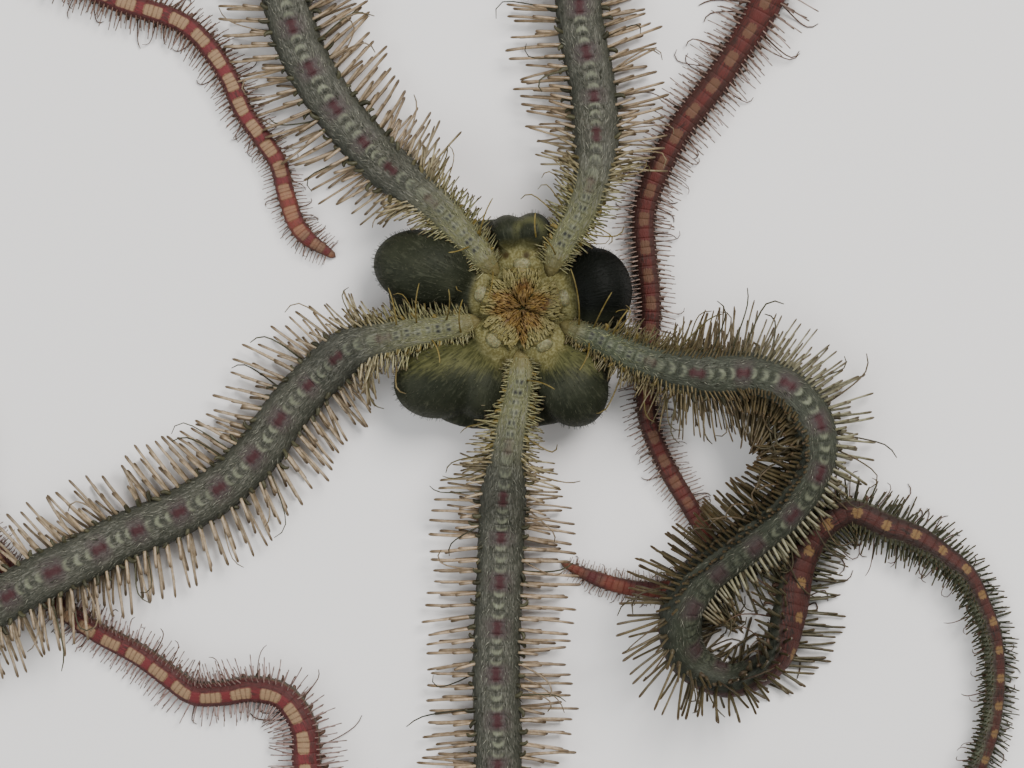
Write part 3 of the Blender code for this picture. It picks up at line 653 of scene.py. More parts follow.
def bristle_tree():
    """Tubes along loose polylines: girth by named curve points, and a bake patch for each."""
    sizes = {"Strands": ("Geometry", None), "Sides": ("Int", 6), "Thickness Scale": ("Float", 1.0),
             "Patch": ("Float", BAKE_PATCH), "Material": ("Material", None)}
    n, given, put = new_group("bristles", "GeometryNodeTree", sizes, {"Bristles": "Geometry"})

    def named(name, kind="FLOAT"):
        return n.value("Attribute", "GeometryNodeInputNamedAttribute", {"Name": name}, data_type=kind)

    radius = named("girth") * given["Thickness Scale"]
    curve = n.value("Curve", "GeometryNodeMeshToCurve", {"Mesh": given["Strands"]})
    circle = n.value("Curve", "GeometryNodeCurvePrimitiveCircle",
                     {"Resolution": given["Sides"], "Radius": 1.0})
    way_round = n.value("Factor", "GeometryNodeSplineParameter")
    ring = n.value("Geometry", "GeometryNodeStoreNamedAttribute",
                   {"Geometry": circle, "Name": "around", "Value": way_round},
                   data_type="FLOAT", domain="POINT")
    tube = n.value("Mesh", "GeometryNodeCurveToMesh",
                   {"Curve": curve, "Profile Curve": ring, "Scale": radius, "Fill Caps": True})
    patch = n.value(0, "ShaderNodeCombineXYZ", {0: named("share") * given["Patch"],
                                                1: named("around") * given["Patch"]})
    root = named("root_uv", "FLOAT_VECTOR")
    unwrap = n.value(0, "ShaderNodeVectorMath", {0: root, 1: patch}, operation="ADD")
    mapped = n.value("Geometry", "GeometryNodeStoreNamedAttribute",
                     {"Geometry": tube, "Name": "OFBake", "Value": unwrap},
                     data_type="FLOAT2", domain="CORNER")
    smooth = n.value("Geometry", "GeometryNodeSetShadeSmooth", {"Geometry": mapped})
    real = n.value("Geometry", "GeometryNodeRealizeInstances", {"Geometry": smooth})
    done = n.value("Geometry", "GeometryNodeSetMaterial", {"Geometry": real, "Material": given["Material"]})
    n.put(done, put.inputs["Bristles"])
    return n.tree


bristles = bristle_tree()


def set_inputs(modifier, values):
    """Set a geometry modifier's inputs by their names, through their identifiers."""
    for item in modifier.node_group.interface.items_tree:
        if item.item_type == "SOCKET" and item.in_out == "INPUT" and item.name in values:
            modifier[item.identifier] = values[item.name]


def grow(name, strands, mat, sides):
    """Turn strands (points, girths, shares, tones, root places) into one piece of tubes."""
    points, girths, shares, tones, roots = (np.concatenate(column) for column in zip(*strands))
    edges = []
    start = 0
    for piece in strands:
        count = len(piece[0])
        edges.extend((k, k + 1) for k in range(start, start + count - 1))
        start += count
    mesh = bpy.data.meshes.new(name)
    mesh.from_pydata((points * MM).tolist(), edges, [])
    add_floats(mesh, "girth", girths * MM)
    add_floats(mesh, "share", shares)
    add_vectors(mesh, "tone", tones)
    add_vectors(mesh, "root_uv", roots)
    obj = link_mesh(name, mesh)
    modifier = obj.modifiers.new("tubes", "NODES")
    modifier.node_group = bristles
    set_inputs(modifier, {"Sides": sides, "Thickness Scale": 1.0, "Patch": BAKE_PATCH, "Material": mat})
    evaluated = obj.evaluated_get(bpy.context.evaluated_depsgraph_get())
    solid = bpy.data.meshes.new_from_object(evaluated)
    obj.modifiers.clear()
    obj.data = solid
    bpy.data.meshes.remove(mesh)
    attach(obj, "root")
    return obj


def root_place(distance, hand, angle, shift=0.0):
    """A root's place on the unwrapped arm: its length along u, the way round it along v."""
    turn = 0.5 + hand * (0.25 - angle / (2.0 * math.pi)) + shift
    return np.array([0.02 + 0.95 * distance / 112.0, 0.02 + 0.95 * (turn % 1.0), 0.0])


def strand(path, thickness, profile, tone, root):
    """One polyline with girths from a profile, shares along it, its tone and its root's place."""
    steps = np.concatenate([[0.0], np.cumsum(np.linalg.norm(np.diff(path, axis=0), axis=1))])
    shares = steps / steps[-1]
    profile_at, values = zip(*profile)
    girths = thickness * np.interp(shares, profile_at, values)
    return path, girths, shares, np.tile(tone, (len(path), 1)), np.tile(root, (len(path), 1))


def blended(first, second, share):
    return np.array(first) * (1.0 - share) + np.array(second) * share


def ramp(value, low, high):
    """0 at low and 1 at high, evenly between them."""
    return float(np.clip((value - low) / (high - low), 0.0, 1.0))


NEAR_TONE = (0.175, 0.172, 0.075)
OUTER_TONE = (0.165, 0.150, 0.088)
# Inner side of a dense arm's bend: a browner spine tone, darkened as well with painted shade of that corner.
INNER_BROWN_AND_SHADE_TONE = (0.066, 0.050, 0.023)
BEND = ((14.0, 0.0), (20.0, 1.0), (34.0, 1.0), (40.0, 0.0))


def rod_tone(line, distance, hand, rng):
    """Tone of a spine: yellow-green at the disc, then the arm's own, then its far part's."""
    plan = line.plan
    turned = float(eased(plan["roll"], distance)) / 180.0
    if plan["roll"][-1][1] == 0.0:
        turned = ramp(distance, 55.0, 70.0)
    tone = blended(plan["spine_tone"], plan["far_tone"], turned)
    if plan["dense"]:
        # On a dense arm's bend the inner spines' darker tone is partly their own brown and partly painted
        # shade of the corner.
        tone = blended(tone, OUTER_TONE if hand < 0 else INNER_BROWN_AND_SHADE_TONE, float(eased(BEND, distance)))
    near_tone = blended(NEAR_TONE, plan["spine_tone"], 0.7 if plan["dense"] else 0.15)
    return blended(tone, near_tone, ramp(distance, 14.0, 8.0)) * rng.uniform(0.72, 1.30)


def comb_parts(segment, dense):
    """Places of the combs in one segment: close at the disc, and where the arm is dense."""
    if segment < (24 if dense else 12):
        return (0.3, 0.62, 0.95)
    return (0.3, 0.8) if segment < dense or segment > 66 else (0.62,)


def pressed(aim, root, length, lowest):
    """A spine's direction, turned level where its end would come too near the floor."""
    if root[2] + aim[2] * length >= lowest:
        return aim
    rise = min((lowest - root[2]) / length, 0.9)
    level = aim[:2] / max(np.linalg.norm(aim[:2]), 0.2)
    return np.array([*(level * math.sqrt(1.0 - rise * rise)), rise])


def spine_strands(line, rng):
    strands = []
    total = int(line.segments(line.end)) - 1
    lean_wave, rise_wave, reach_wave = ({hand: slow_wave(rng, total + 8, length) for hand in (-1, 1)}
                                        for length in (5.0, 4.0, 3.0))
    dense = line.plan["dense"]
    combs = [k + part for k in range(1, total) for part in comb_parts(k, dense)]
    for row in combs:
        k = int(row)
        filler = row - k < 0.5 and k >= 12
        distance = float(line.distance_at(row))
        centre, along, side, oral, half_width, half_depth = line.at(distance)
        reach = float(eased(SPINE_REACH, distance))
        thick = float(eased(SPINE_THICKNESS, distance) * eased(line.plan["girth"], distance))
        comb = COMB[1 if distance > 90.0 else 0:len(COMB) if k < dense else 4]
        for hand in (-1, 1):
            lean = math.radians(line.plan["lean"] + 6.0 * lean_wave[hand][k])
            splay = 18.0 if distance < 12.0 else 12.0 if rng.random() < 0.25 else 3.0
            for index, (comb_angle, comb_reach) in enumerate(comb):
                angle = comb_angle + 6.0 * rise_wave[hand][k] + rng.uniform(-4.0, 4.0)
                if distance < 11.0:
                    angle = 4.0 + 9.0 * index + 8.0 * rng.random()
                angle = math.radians(angle)
                length = reach * comb_reach * (1.0 + 0.10 * reach_wave[hand][k]) * rng.uniform(0.86, 1.06)
                length *= rng.uniform(0.55, 1.0) if filler else 1.0
                length *= rng.uniform(0.65, 1.35) if distance < 12.0 else 1.0
                out = side * hand * math.cos(angle) + oral * math.sin(angle)
                root = centre + side * hand * half_width * 0.86 * math.cos(angle)
                root = root + oral * half_depth * 0.84 * math.sin(angle)
                aim = out + along * math.tan(lean + math.radians(rng.uniform(-splay, splay)))
                aim = pressed(aim / np.linalg.norm(aim), root, length, 0.16 + 0.5 * rng.random())
                bend = (oral * rng.uniform(-0.05, 0.10) + along * rng.uniform(-0.10, 0.10)) * length
                shares = np.array(SPINE_SHARES)[:, None]
                path = root + aim * shares * length + bend * (shares**2 - shares)
                path[:, 2] = np.maximum(path[:, 2], 0.03 + thick)
                strands.append(strand(path, thick * rng.uniform(0.86, 1.12), SPINE_GIRTH,
                                      rod_tone(line, distance, hand, rng), root_place(distance, hand, angle)))
    return strands


def rod_material(name, tip, tip_share, root, root_share, roughness, clear):
    """Soft or glassy rods in their own tones, darker at the root and at the blunt end."""
    mat, tree, shader = new_material(name, roughness)
    n = Nodes(tree)
    share = n.attribute("share")
    tone = n.attribute("tone", "Color")
    grain = n.noise(n.value("Object", "ShaderNodeTexCoord"), 3200.0, 2.0, 0.6)
    pale = n.value("Color", "ShaderNodeHueSaturation", {"Value": 1.45, "Saturation": 0.85, "Color": tone})
    body = n.mix(n.step(grain, 0.35, 0.68), tone, pale)
    body = n.mix(n.step(share, 0.30, 0.0) * root_share, body, root)
    body = n.mix(n.step(share, 0.74, 0.97) * tip_share, body, tip)
    n.finish(shader, body, grain, 0.5, 0.04)
    shader.inputs["Specular IOR Level"].default_value = 0.3
    shader.inputs["IOR"].default_value = 1.35
    shader.inputs["Transmission Weight"].default_value = clear
    return mat


spine_mat = rod_material("spine_glass", (0.060, 0.036, 0.015), 0.80, (0.045, 0.042, 0.022), 0.60, 0.30, 0.30)
spine_rng = np.random.default_rng(SPINE_SEED)
for arm_name, line in lines.items():
    grow(arm_name + "_spines", spine_strands(line, spine_rng), spine_mat, 5)


# Fuzz of the arms: minute soft papillae that stand close over the lateral plates and lie
# along the arm, so that its grey-green skin looks furry.
FUZZ_GIRTH = ((0.0, 1.0), (0.6, 0.8), (1.0, 0.2))
FUZZ_SEED = 41
FUZZ_PER_SEGMENT = 40
FUZZ_THICKNESS = 0.040
FUZZ_DARK = (0.016, 0.017, 0.010)
FUZZ_PALE = (0.16, 0.155, 0.12)
NEAR_FUZZ = (0.19, 0.19, 0.09)
FAR_FUZZ = (0.130, 0.115, 0.080)


def fuzz_strands(line, rng):
    strands = []
    total = int(line.segments(line.end)) - 2
    for k in range(1, total):
        for _ in range(FUZZ_PER_SEGMENT if k < 75 else FUZZ_PER_SEGMENT // 5):
            distance = float(line.distance_at(k + rng.random()))
            centre, along, side, oral, half_width, half_depth = line.at(distance)
            scale = half_width / 1.7
            hand = rng.choice((-1.0, 1.0))
            angle = math.radians(rng.uniform(8.0, 74.0))
            root = centre + side * hand * half_width * 0.90 * math.cos(angle)
            root = root + oral * half_depth * 0.80 * math.sin(angle)
            aim = along * rng.uniform(0.5, 1.3) + side * hand * rng.uniform(-0.1, 0.6)
            aim = aim + oral * rng.uniform(0.10, 0.34)
            aim /= np.linalg.norm(aim)
            length = (0.28 + 0.36 * rng.random()) * (0.4 + 0.6 * scale)
            bend = oral * 0.10 * length
            path = np.array([root, root + aim * length * 0.5 + bend, root + aim * length])
            path[:, 2] = np.maximum(path[:, 2], 0.08)
            tone = blended(FUZZ_DARK, FUZZ_PALE, rng.random() ** 1.5)
            near_fuzz = np.array(NEAR_FUZZ) * rng.uniform(0.5, 1.2)
            tone = blended(tone, near_fuzz, ramp(distance, 11.0, 6.0))
            far_fuzz = np.array(FAR_FUZZ) * rng.uniform(0.3, 1.1)
            tone = blended(tone, far_fuzz, ramp(eased(line.plan["roll"], distance), 0.0, 180.0))
            strands.append(strand(path, FUZZ_THICKNESS * (0.4 + 0.6 * scale), FUZZ_GIRTH, tone,
                                  root_place(distance, hand, angle)))
    return strands


fuzz_mat = rod_material("soft_fuzz", (0.16, 0.16, 0.12), 0.2, (0.02, 0.022, 0.014), 0.6, 0.7, 0.0)
fuzz_rng = np.random.default_rng(FUZZ_SEED)
for arm_name, line in lines.items():
    grow(arm_name + "_fuzz", fuzz_strands(line, fuzz_rng), fuzz_mat, 3)


# Tube feet: soft tentacles in pairs beside the ventral plates, without suckers. Some are
# drawn in to short dark curls, others reach past the spines and hook at the end.
FOOT_GIRTH = ((0.0, 1.2), (0.1, 1.0), (0.7, 0.8), (0.90, 0.78), (0.96, 1.0), (1.0, 0.5))
STUB_GIRTH = ((0.0, 1.1), (0.5, 1.15), (0.85, 0.9), (1.0, 0.4))
FOOT_STEPS = 9
HIGHEST = 6.85
FOOT_SEED = 29
LONG_FOOT = {"length": (3.4, 5.4), "angle": (4.0, 26.0), "curl": (0.1, 0.9), "hook": (0.4, 2.6),
             "thick": 0.066}
STUB_FOOT = {"length": (0.5, 1.1), "angle": (8.0, 34.0), "curl": (0.9, 2.4), "hook": None,
             "thick": 0.145}
FOOT_SCALE = ((2.9, 0.5), (9.0, 0.8), (14.0, 1.0), (50.0, 1.0), (70.0, 0.45), (110.0, 0.2))
MOUTH_FOOT_THICKNESS = 0.060
MOUTH_FEET = (((-4.2, -1.7), (-4.05, 0.5), 0.3), ((-2.0, 2.4), (-2.4, 0.5), 0.25),
              ((3.9, -1.2), (3.3, 2.6), -0.2), ((2.3, 3.6), (1.4, 4.8), -0.2),
              ((-2.9, 4.9), (-2.0, 7.4), 0.2), ((4.9, -1.4), (6.1, 1.0), 0.1),
              ((-7.2, -1.2), (-7.0, 1.6), 0.2), ((-8.6, -1.4), (-9.1, 1.3), -0.2),
              ((-6.2, -2.2), (-5.6, -3.8), 0.4), ((4.6, -2.4), (3.9, -4.3), 0.3),
              ((0.3, -5.0), (2.2, -5.6), 0.3), ((-3.6, 4.2), (-5.0, 3.7), 0.3),
              ((-5.2, -0.9), (-5.0, 1.2), -0.3), ((1.0, 4.6), (0.9, 6.4), 0.2),
              ((6.2, -1.9), (7.2, -0.2), 0.2))
FOOT_DARK = (0.032, 0.030, 0.015)
MUSTARD = (0.105, 0.075, 0.014)
FAR_FOOT = (0.070, 0.036, 0.024)


def curled_path(root, aim, curl_way, length, curl, hook, lowest):
    """A soft foot's path: curling more and more, with a hook at the end."""
    path = [root]
    for i in range(1, FOOT_STEPS):
        share = i / (FOOT_STEPS - 1)
        bend = curl * share**2 * 0.6 + hook * max(0.0, share - 0.72) * 2.4
        heading = aim * math.cos(bend) + curl_way * math.sin(bend)
        path.append(path[-1] + heading * length / (FOOT_STEPS - 1))
    path = np.array(path)
    path[:, 2] = np.clip(path[:, 2], lowest, HIGHEST)
    return path


def foot_strands(line, rng):
    strands = []
    total = int(line.segments(line.end)) - 2
    for k in range(2, total):
        distance = float(line.distance_at(k + 0.5))
        centre, along, side, oral, half_width, half_depth = line.at(distance)
        scale = float(eased(FOOT_SCALE, distance))
        feet = [(hand, STUB_FOOT) for hand in (-1, 1)]
        feet += [(hand, LONG_FOOT) for hand in (-1, 1) if rng.random() < line.plan["long_feet"] * 1.3]
        for hand, foot in feet:
            length = scale * rng.uniform(*foot["length"])
            angle = math.radians(rng.uniform(*foot["angle"]))
            curl = rng.uniform(*foot["curl"])
            hook = rng.uniform(*foot["hook"]) if foot["hook"] else 0.5
            thick = foot["thick"] * rng.uniform(0.8, 1.2)
            root = centre + side * hand * half_width * 0.84 * math.cos(angle)
            root = root + oral * half_depth * 0.80 * math.sin(angle)
            aim = side * hand * math.cos(angle) + oral * math.sin(angle) + along * rng.uniform(-0.1, 0.6)
            aim /= np.linalg.norm(aim)
            curl_way = along * rng.choice((-1.0, 1.0)) + oral * rng.uniform(-0.5, 0.5)
            curl_way -= aim * np.dot(curl_way, aim)
            curl_way /= np.linalg.norm(curl_way)
            path = curled_path(root, aim, curl_way, length, curl, hook, 1.25 * thick)
            tone = np.array(FOOT_DARK) * rng.uniform(0.5, 1.4)
            if foot is LONG_FOOT and rng.random() < 0.4:
                tone = np.array(line.plan["spine_tone"]) * 0.55
            tone = blended(tone, FAR_FOOT, ramp(eased(line.plan["roll"], distance), 0.0, 180.0))
            tone = blended(tone, MUSTARD, ramp(distance, 13.0, 7.0))
            girth = FOOT_GIRTH if foot is LONG_FOOT else STUB_GIRTH
            strands.append(strand(path, thick * (0.5 + 0.5 * scale), girth, tone,
                                  root_place(distance, hand, angle, shift=0.5)))
    return strands


def mouth_feet_strands(rng):
    strands = []
    for number, (start, end, bow) in enumerate(MOUTH_FEET):
        low = np.array([*start, 4.1])
        high = np.array([*end, 5.7 + 0.3 * rng.random()])
        run = high - low
        across = np.array([-run[1], run[0], 0.0])
        share = np.linspace(0.0, 1.0, FOOT_STEPS)[:, None]
        path = low + run * share + across * bow * share * (1.0 - share)
        path[:, 2] = np.minimum(path[:, 2] + 0.8 * np.sin(math.pi * share[:, 0] ** 0.7), HIGHEST)
        tone = np.array(MUSTARD) * rng.uniform(0.6, 1.2)
        place = np.array([0.02 + 0.01 * number, 0.01, 0.0])
        strands.append(strand(path, MOUTH_FOOT_THICKNESS, FOOT_GIRTH, tone, place))
    return strands


foot_mat = rod_material("tube_foot", (0.045, 0.034, 0.016), 0.6, (0.03, 0.028, 0.012), 0.5, 0.45, 0.0)
foot_rng = np.random.default_rng(FOOT_SEED)
for arm_name, line in lines.items():
    grow(arm_name + "_tube_feet", foot_strands(line, foot_rng), foot_mat, 5)
mouth_feet_mat = rod_material("mouth_tube_foot", (0.16, 0.13, 0.04), 0.4, (0.08, 0.05, 0.01), 0.4, 0.5, 0.0)
grow("mouth_tube_feet", mouth_feet_strands(foot_rng), mouth_feet_mat, 6)


# Disc: a low round body with five full, dark bags between the arms, one skin over all,
# drawn in where the arms cross it and paler towards the mouth. It is modelled as rounded
# masses that are melted together.
DISC_TOP = 2.6
LOBE_FLOOR = DISC_TOP + 0.3
VOXEL = 0.16
BASE_POINTS = 64
BASE_FLAT = 3.6
BASE_PROFILE = ((0.03, None), (0.75, 0.78), (1.4, 0.94), (2.0, 1.0), (2.6, 0.98), (3.1, 0.90), (3.3, 0.6))
JAW_SWELLING = (1.35, 1.75, 1.15)
LOBES = (
    ("left", 161.0, (((-6.7, 2.7), (3.6, 2.7), -12.0, 2.9),)),
    ("lower_left", 229.0, (((-5.4, -4.9), (3.5, 2.7), 14.0, 2.9), ((-2.9, -5.4), (1.9, 2.3), 0.0, 2.6))),
    ("lower_right", 301.0, (((3.4, -5.3), (2.5, 3.0), 24.0, 2.8),)),
    ("right", 13.0, (((5.2, 1.3), (2.4, 2.9), 10.0, 2.8),)),
    ("upper", 90.0, (((-1.0, 5.2), (1.25, 1.25), 0.0, 2.2), ((0.75, 5.3), (1.3, 1.3), 0.0, 2.3))),
)


def disc_reach(bearing):
    """Radius of the disc's widest line at a bearing, full at the lobes, drawn in at the arms."""
    stations = []
    for _, middle, bags in LOBES:
        direction = np.array([math.cos(math.radians(middle)), math.sin(math.radians(middle))])
        reach = max(float(np.dot(centre, direction)) + min(half) for centre, half, _, _ in bags)
        stations.append((middle % 360.0, reach - 0.35))
    stations.sort()
    stations.append((stations[0][0] + 360.0, stations[0][1]))
    if bearing < stations[0][0]:
        bearing += 360.0
    for (start, low), (end, high) in zip(stations, stations[1:]):
        if bearing <= end:
            share = (bearing - start) / (end - start)
            ease = share * share * (3.0 - 2.0 * share)
            return (low + (high - low) * ease) * (1.0 - 0.07 * math.sin(math.pi * share) ** 2)
    return stations[-1][1]


def disc_masses():
    """The body's flesh: a low round base, the bags, and a soft swelling behind each jaw."""
    shape = bmesh.new()
    rings = []
    for height, share in BASE_PROFILE:
        ring = []
        for k in range(BASE_POINTS):
            bearing = 360.0 * k / BASE_POINTS
            radius = BASE_FLAT if share is None else disc_reach(bearing) * share
            ring.append(shape.verts.new((radius * math.cos(math.radians(bearing)),
                                         radius * math.sin(math.radians(bearing)), height)))
        rings.append(ring)
    for ring, following in zip(rings, rings[1:]):
        for i in range(BASE_POINTS):
            j = (i + 1) % BASE_POINTS
            shape.faces.new((ring[i], ring[j], following[j], following[i]))
    shape.faces.new(rings[0][::-1])
    shape.faces.new(rings[-1])
    for _, _, bags in LOBES:
        for centre, half, turn, height in bags:
            new = bmesh.ops.create_icosphere(shape, subdivisions=4, radius=1.0)["verts"]
            bmesh.ops.scale(shape, vec=(half[0], half[1], height), verts=new)
            bmesh.ops.rotate(shape, matrix=Matrix.Rotation(math.radians(turn), 3, "Z"), verts=new)
            low = LOBE_FLOOR - 0.1
            bmesh.ops.translate(shape, vec=(centre[0], centre[1], low), verts=new)
            for vert in new:
                if vert.co.z < low:
                    vert.co.z = low + (vert.co.z - low) * 0.55
    for _, bearing, _ in LOBES:
        turn = Matrix.Rotation(math.radians(bearing), 3, "Z")
        new = bmesh.ops.create_icosphere(shape, subdivisions=3, radius=1.0)["verts"]
        bmesh.ops.scale(shape, vec=JAW_SWELLING, verts=new)
        bmesh.ops.translate(shape, vec=(3.1, 0.0, 3.0), verts=new)
        bmesh.ops.rotate(shape, matrix=turn, verts=new)
    bmesh.ops.scale(shape, vec=(MM, MM, MM), verts=shape.verts)
    return mesh_from(shape, "disc_skin")


def melted(name, mesh, voxel, smoothing):
    """One closed skin round joined masses."""
    obj = link_mesh(name, mesh)
    remesh = obj.modifiers.new("melt", "REMESH")
    remesh.mode = "VOXEL"
    remesh.voxel_size = voxel * MM
    remesh.use_smooth_shade = True
    smooth = obj.modifiers.new("soften", "SMOOTH")
    smooth.iterations = smoothing
    smooth.factor = 0.5
    evaluated = obj.evaluated_get(bpy.context.evaluated_depsgraph_get())
    skin = bpy.data.meshes.new_from_object(evaluated)
    obj.modifiers.clear()
    obj.data = skin
    return obj


disc = melted("disc_skin", disc_masses(), VOXEL, 6)
for vertex in disc.data.vertices:
    vertex.co.z = max(vertex.co.z, 0.0)


BAG_DARK = (0.0122, 0.0140, 0.0076)
BAG_GREEN = (0.0245, 0.0262, 0.0155)
BAG_STREAK = (0.048, 0.050, 0.032)
BAG_GRAIN = (0.060, 0.058, 0.036)
BAG_SHADED = (0.0010, 0.0014, 0.0007)
OLIVE_DEEP = (0.036, 0.037, 0.013)
OLIVE_PALE = (0.080, 0.078, 0.030)
CREAM_DEEP = (0.094, 0.082, 0.028)
CREAM_PALE = (0.155, 0.142, 0.066)
PORES = ((-0.0011, 0.0036), (0.0003, 0.0036))
PORE_BROWN = (0.022, 0.012, 0.004)
RING_PLACE = (0.0005, 0.0051)
RING_OLIVE = (0.070, 0.070, 0.030)
BACK_BROWN = (0.060, 0.016, 0.012)
BACK_TAN = (0.11, 0.060, 0.030)


def disc_material():
    mat, tree, shader = new_material("disc_skin", 0.55)
    n = Nodes(tree)
    place = n.value("Object", "ShaderNodeTexCoord")
    x, y, z = n.parts(place)
    rays = n.value(0, "ShaderNodeCombineXYZ",
                   {0: n.math("ARCTAN2", y, x) * 9.0, 1: n.gap(x, y) * 900.0, 2: z * 1400.0})
    streak = n.noise(n.scaled(rays, (4.0, 1.0, 1.0)), 1.0, 3.0, 0.6)
    grain = n.noise(place, 5200.0, 2.0, 0.6)
    cloud = n.noise(place, 420.0, 3.0, 0.55)
    unrest = cloud - 0.5
    dark = n.mix(n.step(cloud, 0.35, 0.7), BAG_DARK, BAG_GREEN)
    dark = n.mix(n.step(streak, 0.52, 0.72) * 0.55, dark, BAG_STREAK)
    dark = n.mix(n.step(grain, 0.58, 0.75) * 0.35, dark, BAG_GRAIN)
    shaded = n.step(x, 0.0016, 0.0034) * n.step(y, -0.0016, 0.0002)
    dark = n.mix(shaded * 0.97, dark, BAG_SHADED)
    olive = n.mix(n.step(streak, 0.35, 0.65), OLIVE_DEEP, OLIVE_PALE)
    olive_top = n.step(y + (streak - 0.5) * 0.0016, -0.0052, -0.0036) * n.step(y, -0.0014, -0.0022)
    tone = n.mix(olive_top * 0.85, dark, olive)
    cream = n.mix(n.step(grain, 0.4, 0.65), CREAM_DEEP, CREAM_PALE)
    cream_reach = n.gap(x * 1.20, y * 0.95)
    tone = n.mix(n.step(cream_reach + unrest * 0.002, 0.0047, 0.0037), tone, cream)
    for pore_x, pore_y in PORES:
        gap = n.gap(x - pore_x, y - pore_y) + unrest * 0.0005
        tone = n.mix(n.step(gap, 0.00042, 0.00012) * 0.85, tone, PORE_BROWN)
    up = y - RING_PLACE[1]
    gap = n.gap(x - RING_PLACE[0], up) + unrest * 0.0006
    ring = n.step(gap, 0.0014, 0.0010) * n.step(gap, 0.00055, 0.0009)
    ring = ring * (n.step(up, -0.0005, 0.0006) * 0.5 + 0.2)
    tone = n.mix(ring, tone, RING_OLIVE)
    back = n.mix(n.step(cloud, 0.4, 0.65), BACK_BROWN, BACK_TAN)
    tone = n.mix(n.step(z, 0.0022, 0.0010), tone, back)
    n.finish(shader, tone, grain * 0.5 + streak * 0.9, 0.8, 0.10)
    shader.inputs["Specular IOR Level"].default_value = 0.09
    return mat


disc.data.materials.append(disc_material())
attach(disc, "root")
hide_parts("disc", *["disc_lobe_" + name for name, _, _ in LOBES])


# Down of the bags: hairs so short and fine that they show only as a soft edge, and as
# streaks that run outwards over the dark skin.
HAIR_SEED = 17
HAIRS_PER_AREA = 62
HAIR_LENGTH = (0.13, 0.27)
HAIR_THICKNESS = 0.018
HAIR_DARK = (0.012, 0.013, 0.008)
HAIR_PALE = (0.060, 0.060, 0.036)


def hair_strands(rng):
    strands = []
    for _, _, bags in LOBES:
        for centre, half, turn, height in bags:
            spin = Matrix.Rotation(math.radians(turn), 3, "Z")
            for _ in range(int(HAIRS_PER_AREA * half[0] * half[1])):
                way = math.radians(rng.uniform(0.0, 360.0))
                rise = rng.random() ** 1.3
                level = math.sqrt(1.0 - rise * rise)
                skin = Vector((half[0] * level * math.cos(way), half[1] * level * math.sin(way),
                               height * rise))
                normal = Vector((skin.x / half[0]**2, skin.y / half[1]**2, skin.z / height**2)).normalized()
                root = np.array(spin @ skin) + np.array([*centre, LOBE_FLOOR - 0.1])
                out = np.array(spin @ normal)
                away = np.array([root[0], root[1], 0.0])
                aim = out * rng.uniform(0.3, 0.6) + away / np.linalg.norm(away) * 0.7
                aim[2] -= 0.25
                aim /= np.linalg.norm(aim)
                length = rng.uniform(*HAIR_LENGTH)
                path = np.array([root - out * 0.05, root + aim * length * 0.5 + out * 0.04,
                                 root + aim * length])
                tone = blended(HAIR_DARK, HAIR_PALE, rng.random() ** 2)
                # Painted shade: hairs on the right bag are darkened, matching the painted shade of the bag
                # skin under them.
                tone = tone * (0.15 if root[0] > 2.5 and root[1] > -1.5 else 1.0)
                place = np.array([0.5 + 0.02 * root[0], 0.5 + 0.02 * root[1], 0.0])
                strands.append(strand(path, HAIR_THICKNESS, FUZZ_GIRTH, tone, place))
    return strands


hair_mat = rod_material("bag_down", (0.07, 0.065, 0.04), 0.3, (0.012, 0.013, 0.008), 0.4, 0.7, 0.0)
grow("disc_down", hair_strands(np.random.default_rng(HAIR_SEED)), hair_mat, 3)


# Mouth frame: five jaws that point inwards between the arms, each a limy wedge in
# orange-brown skin with blunt papillae along its edges and teeth at its tip, and behind
# each one a whitish oral shield.
JAW_TIP = 0.35
JAW_CORNER = 2.2
JAW_HALF_WIDTH = 1.3
JAW_HEEL = 2.75
JAW_TOP = 4.6
JAW_MIDDLE = 3.6
JAW_KNOBS = 11
JAW_SEED = 5


def add_knob(shape, place, size):
    """One small rounded knob in a shape under construction."""
    new = bmesh.ops.create_uvsphere(shape, u_segments=8, v_segments=6, radius=1.0)["verts"]
    bmesh.ops.scale(shape, vec=size, verts=new)
    bmesh.ops.translate(shape, vec=place, verts=new)


STAR_REACH = 1.43
MOUTH_POINTS = ((84.0, 0.55, 22.0), (157.0, 0.85, 16.0), (188.0, 0.75, 12.0), (270.0, 1.30, 10.0),
                (16.0, 0.60, 20.0), (310.0, 0.45, 14.0), (225.0, 0.15, 20.0))


def mouth_stain(x, y):
    """1 in the orange-brown star round the mouth and 0 outside its points."""
    bearing = np.degrees(np.arctan2(y, x))
    reach = np.full(np.shape(bearing), STAR_REACH)
    for middle, more, width in MOUTH_POINTS:
        away = (bearing - middle + 180.0) % 360.0 - 180.0
        reach = reach + more * np.exp(-((away / width) ** 2))
    return np.clip((reach - np.hypot(x, y)) / 0.7 + 0.5, 0.0, 1.0)


def jaw_masses(bearing):
    shape = bmesh.new()
    for i in range(JAW_KNOBS):
        share = i / (JAW_KNOBS - 1)
        out = JAW_TIP + 0.25 + (JAW_HEEL - JAW_TIP - 0.45) * share
        half = min(0.68 * (out - 0.12), JAW_HALF_WIDTH, 0.45 + 0.9 * (JAW_HEEL + 0.4 - out))
        top = JAW_TOP - 0.75 * (1.0 - share) ** 1.4 - 0.12 * share
        add_knob(shape, (out, 0.0, JAW_MIDDLE), (0.40, half, top - JAW_MIDDLE))
    bmesh.ops.rotate(shape, matrix=Matrix.Rotation(math.radians(bearing), 3, "Z"), verts=shape.verts)
    bmesh.ops.scale(shape, vec=(MM, MM, MM), verts=shape.verts)
    return mesh_from(shape, "jaw")


PAPILLA_GIRTH = ((0.0, 1.0), (0.5, 1.0), (0.85, 0.9), (1.0, 0.45))
PAPILLAE = 250
PAPILLA_LENGTH = (0.22, 0.40)
PAPILLA_THICKNESS = (0.056, 0.080)
BROWN = (0.066, 0.032, 0.005)
AMBER = (0.130, 0.078, 0.014)
CREAM = (0.118, 0.100, 0.033)


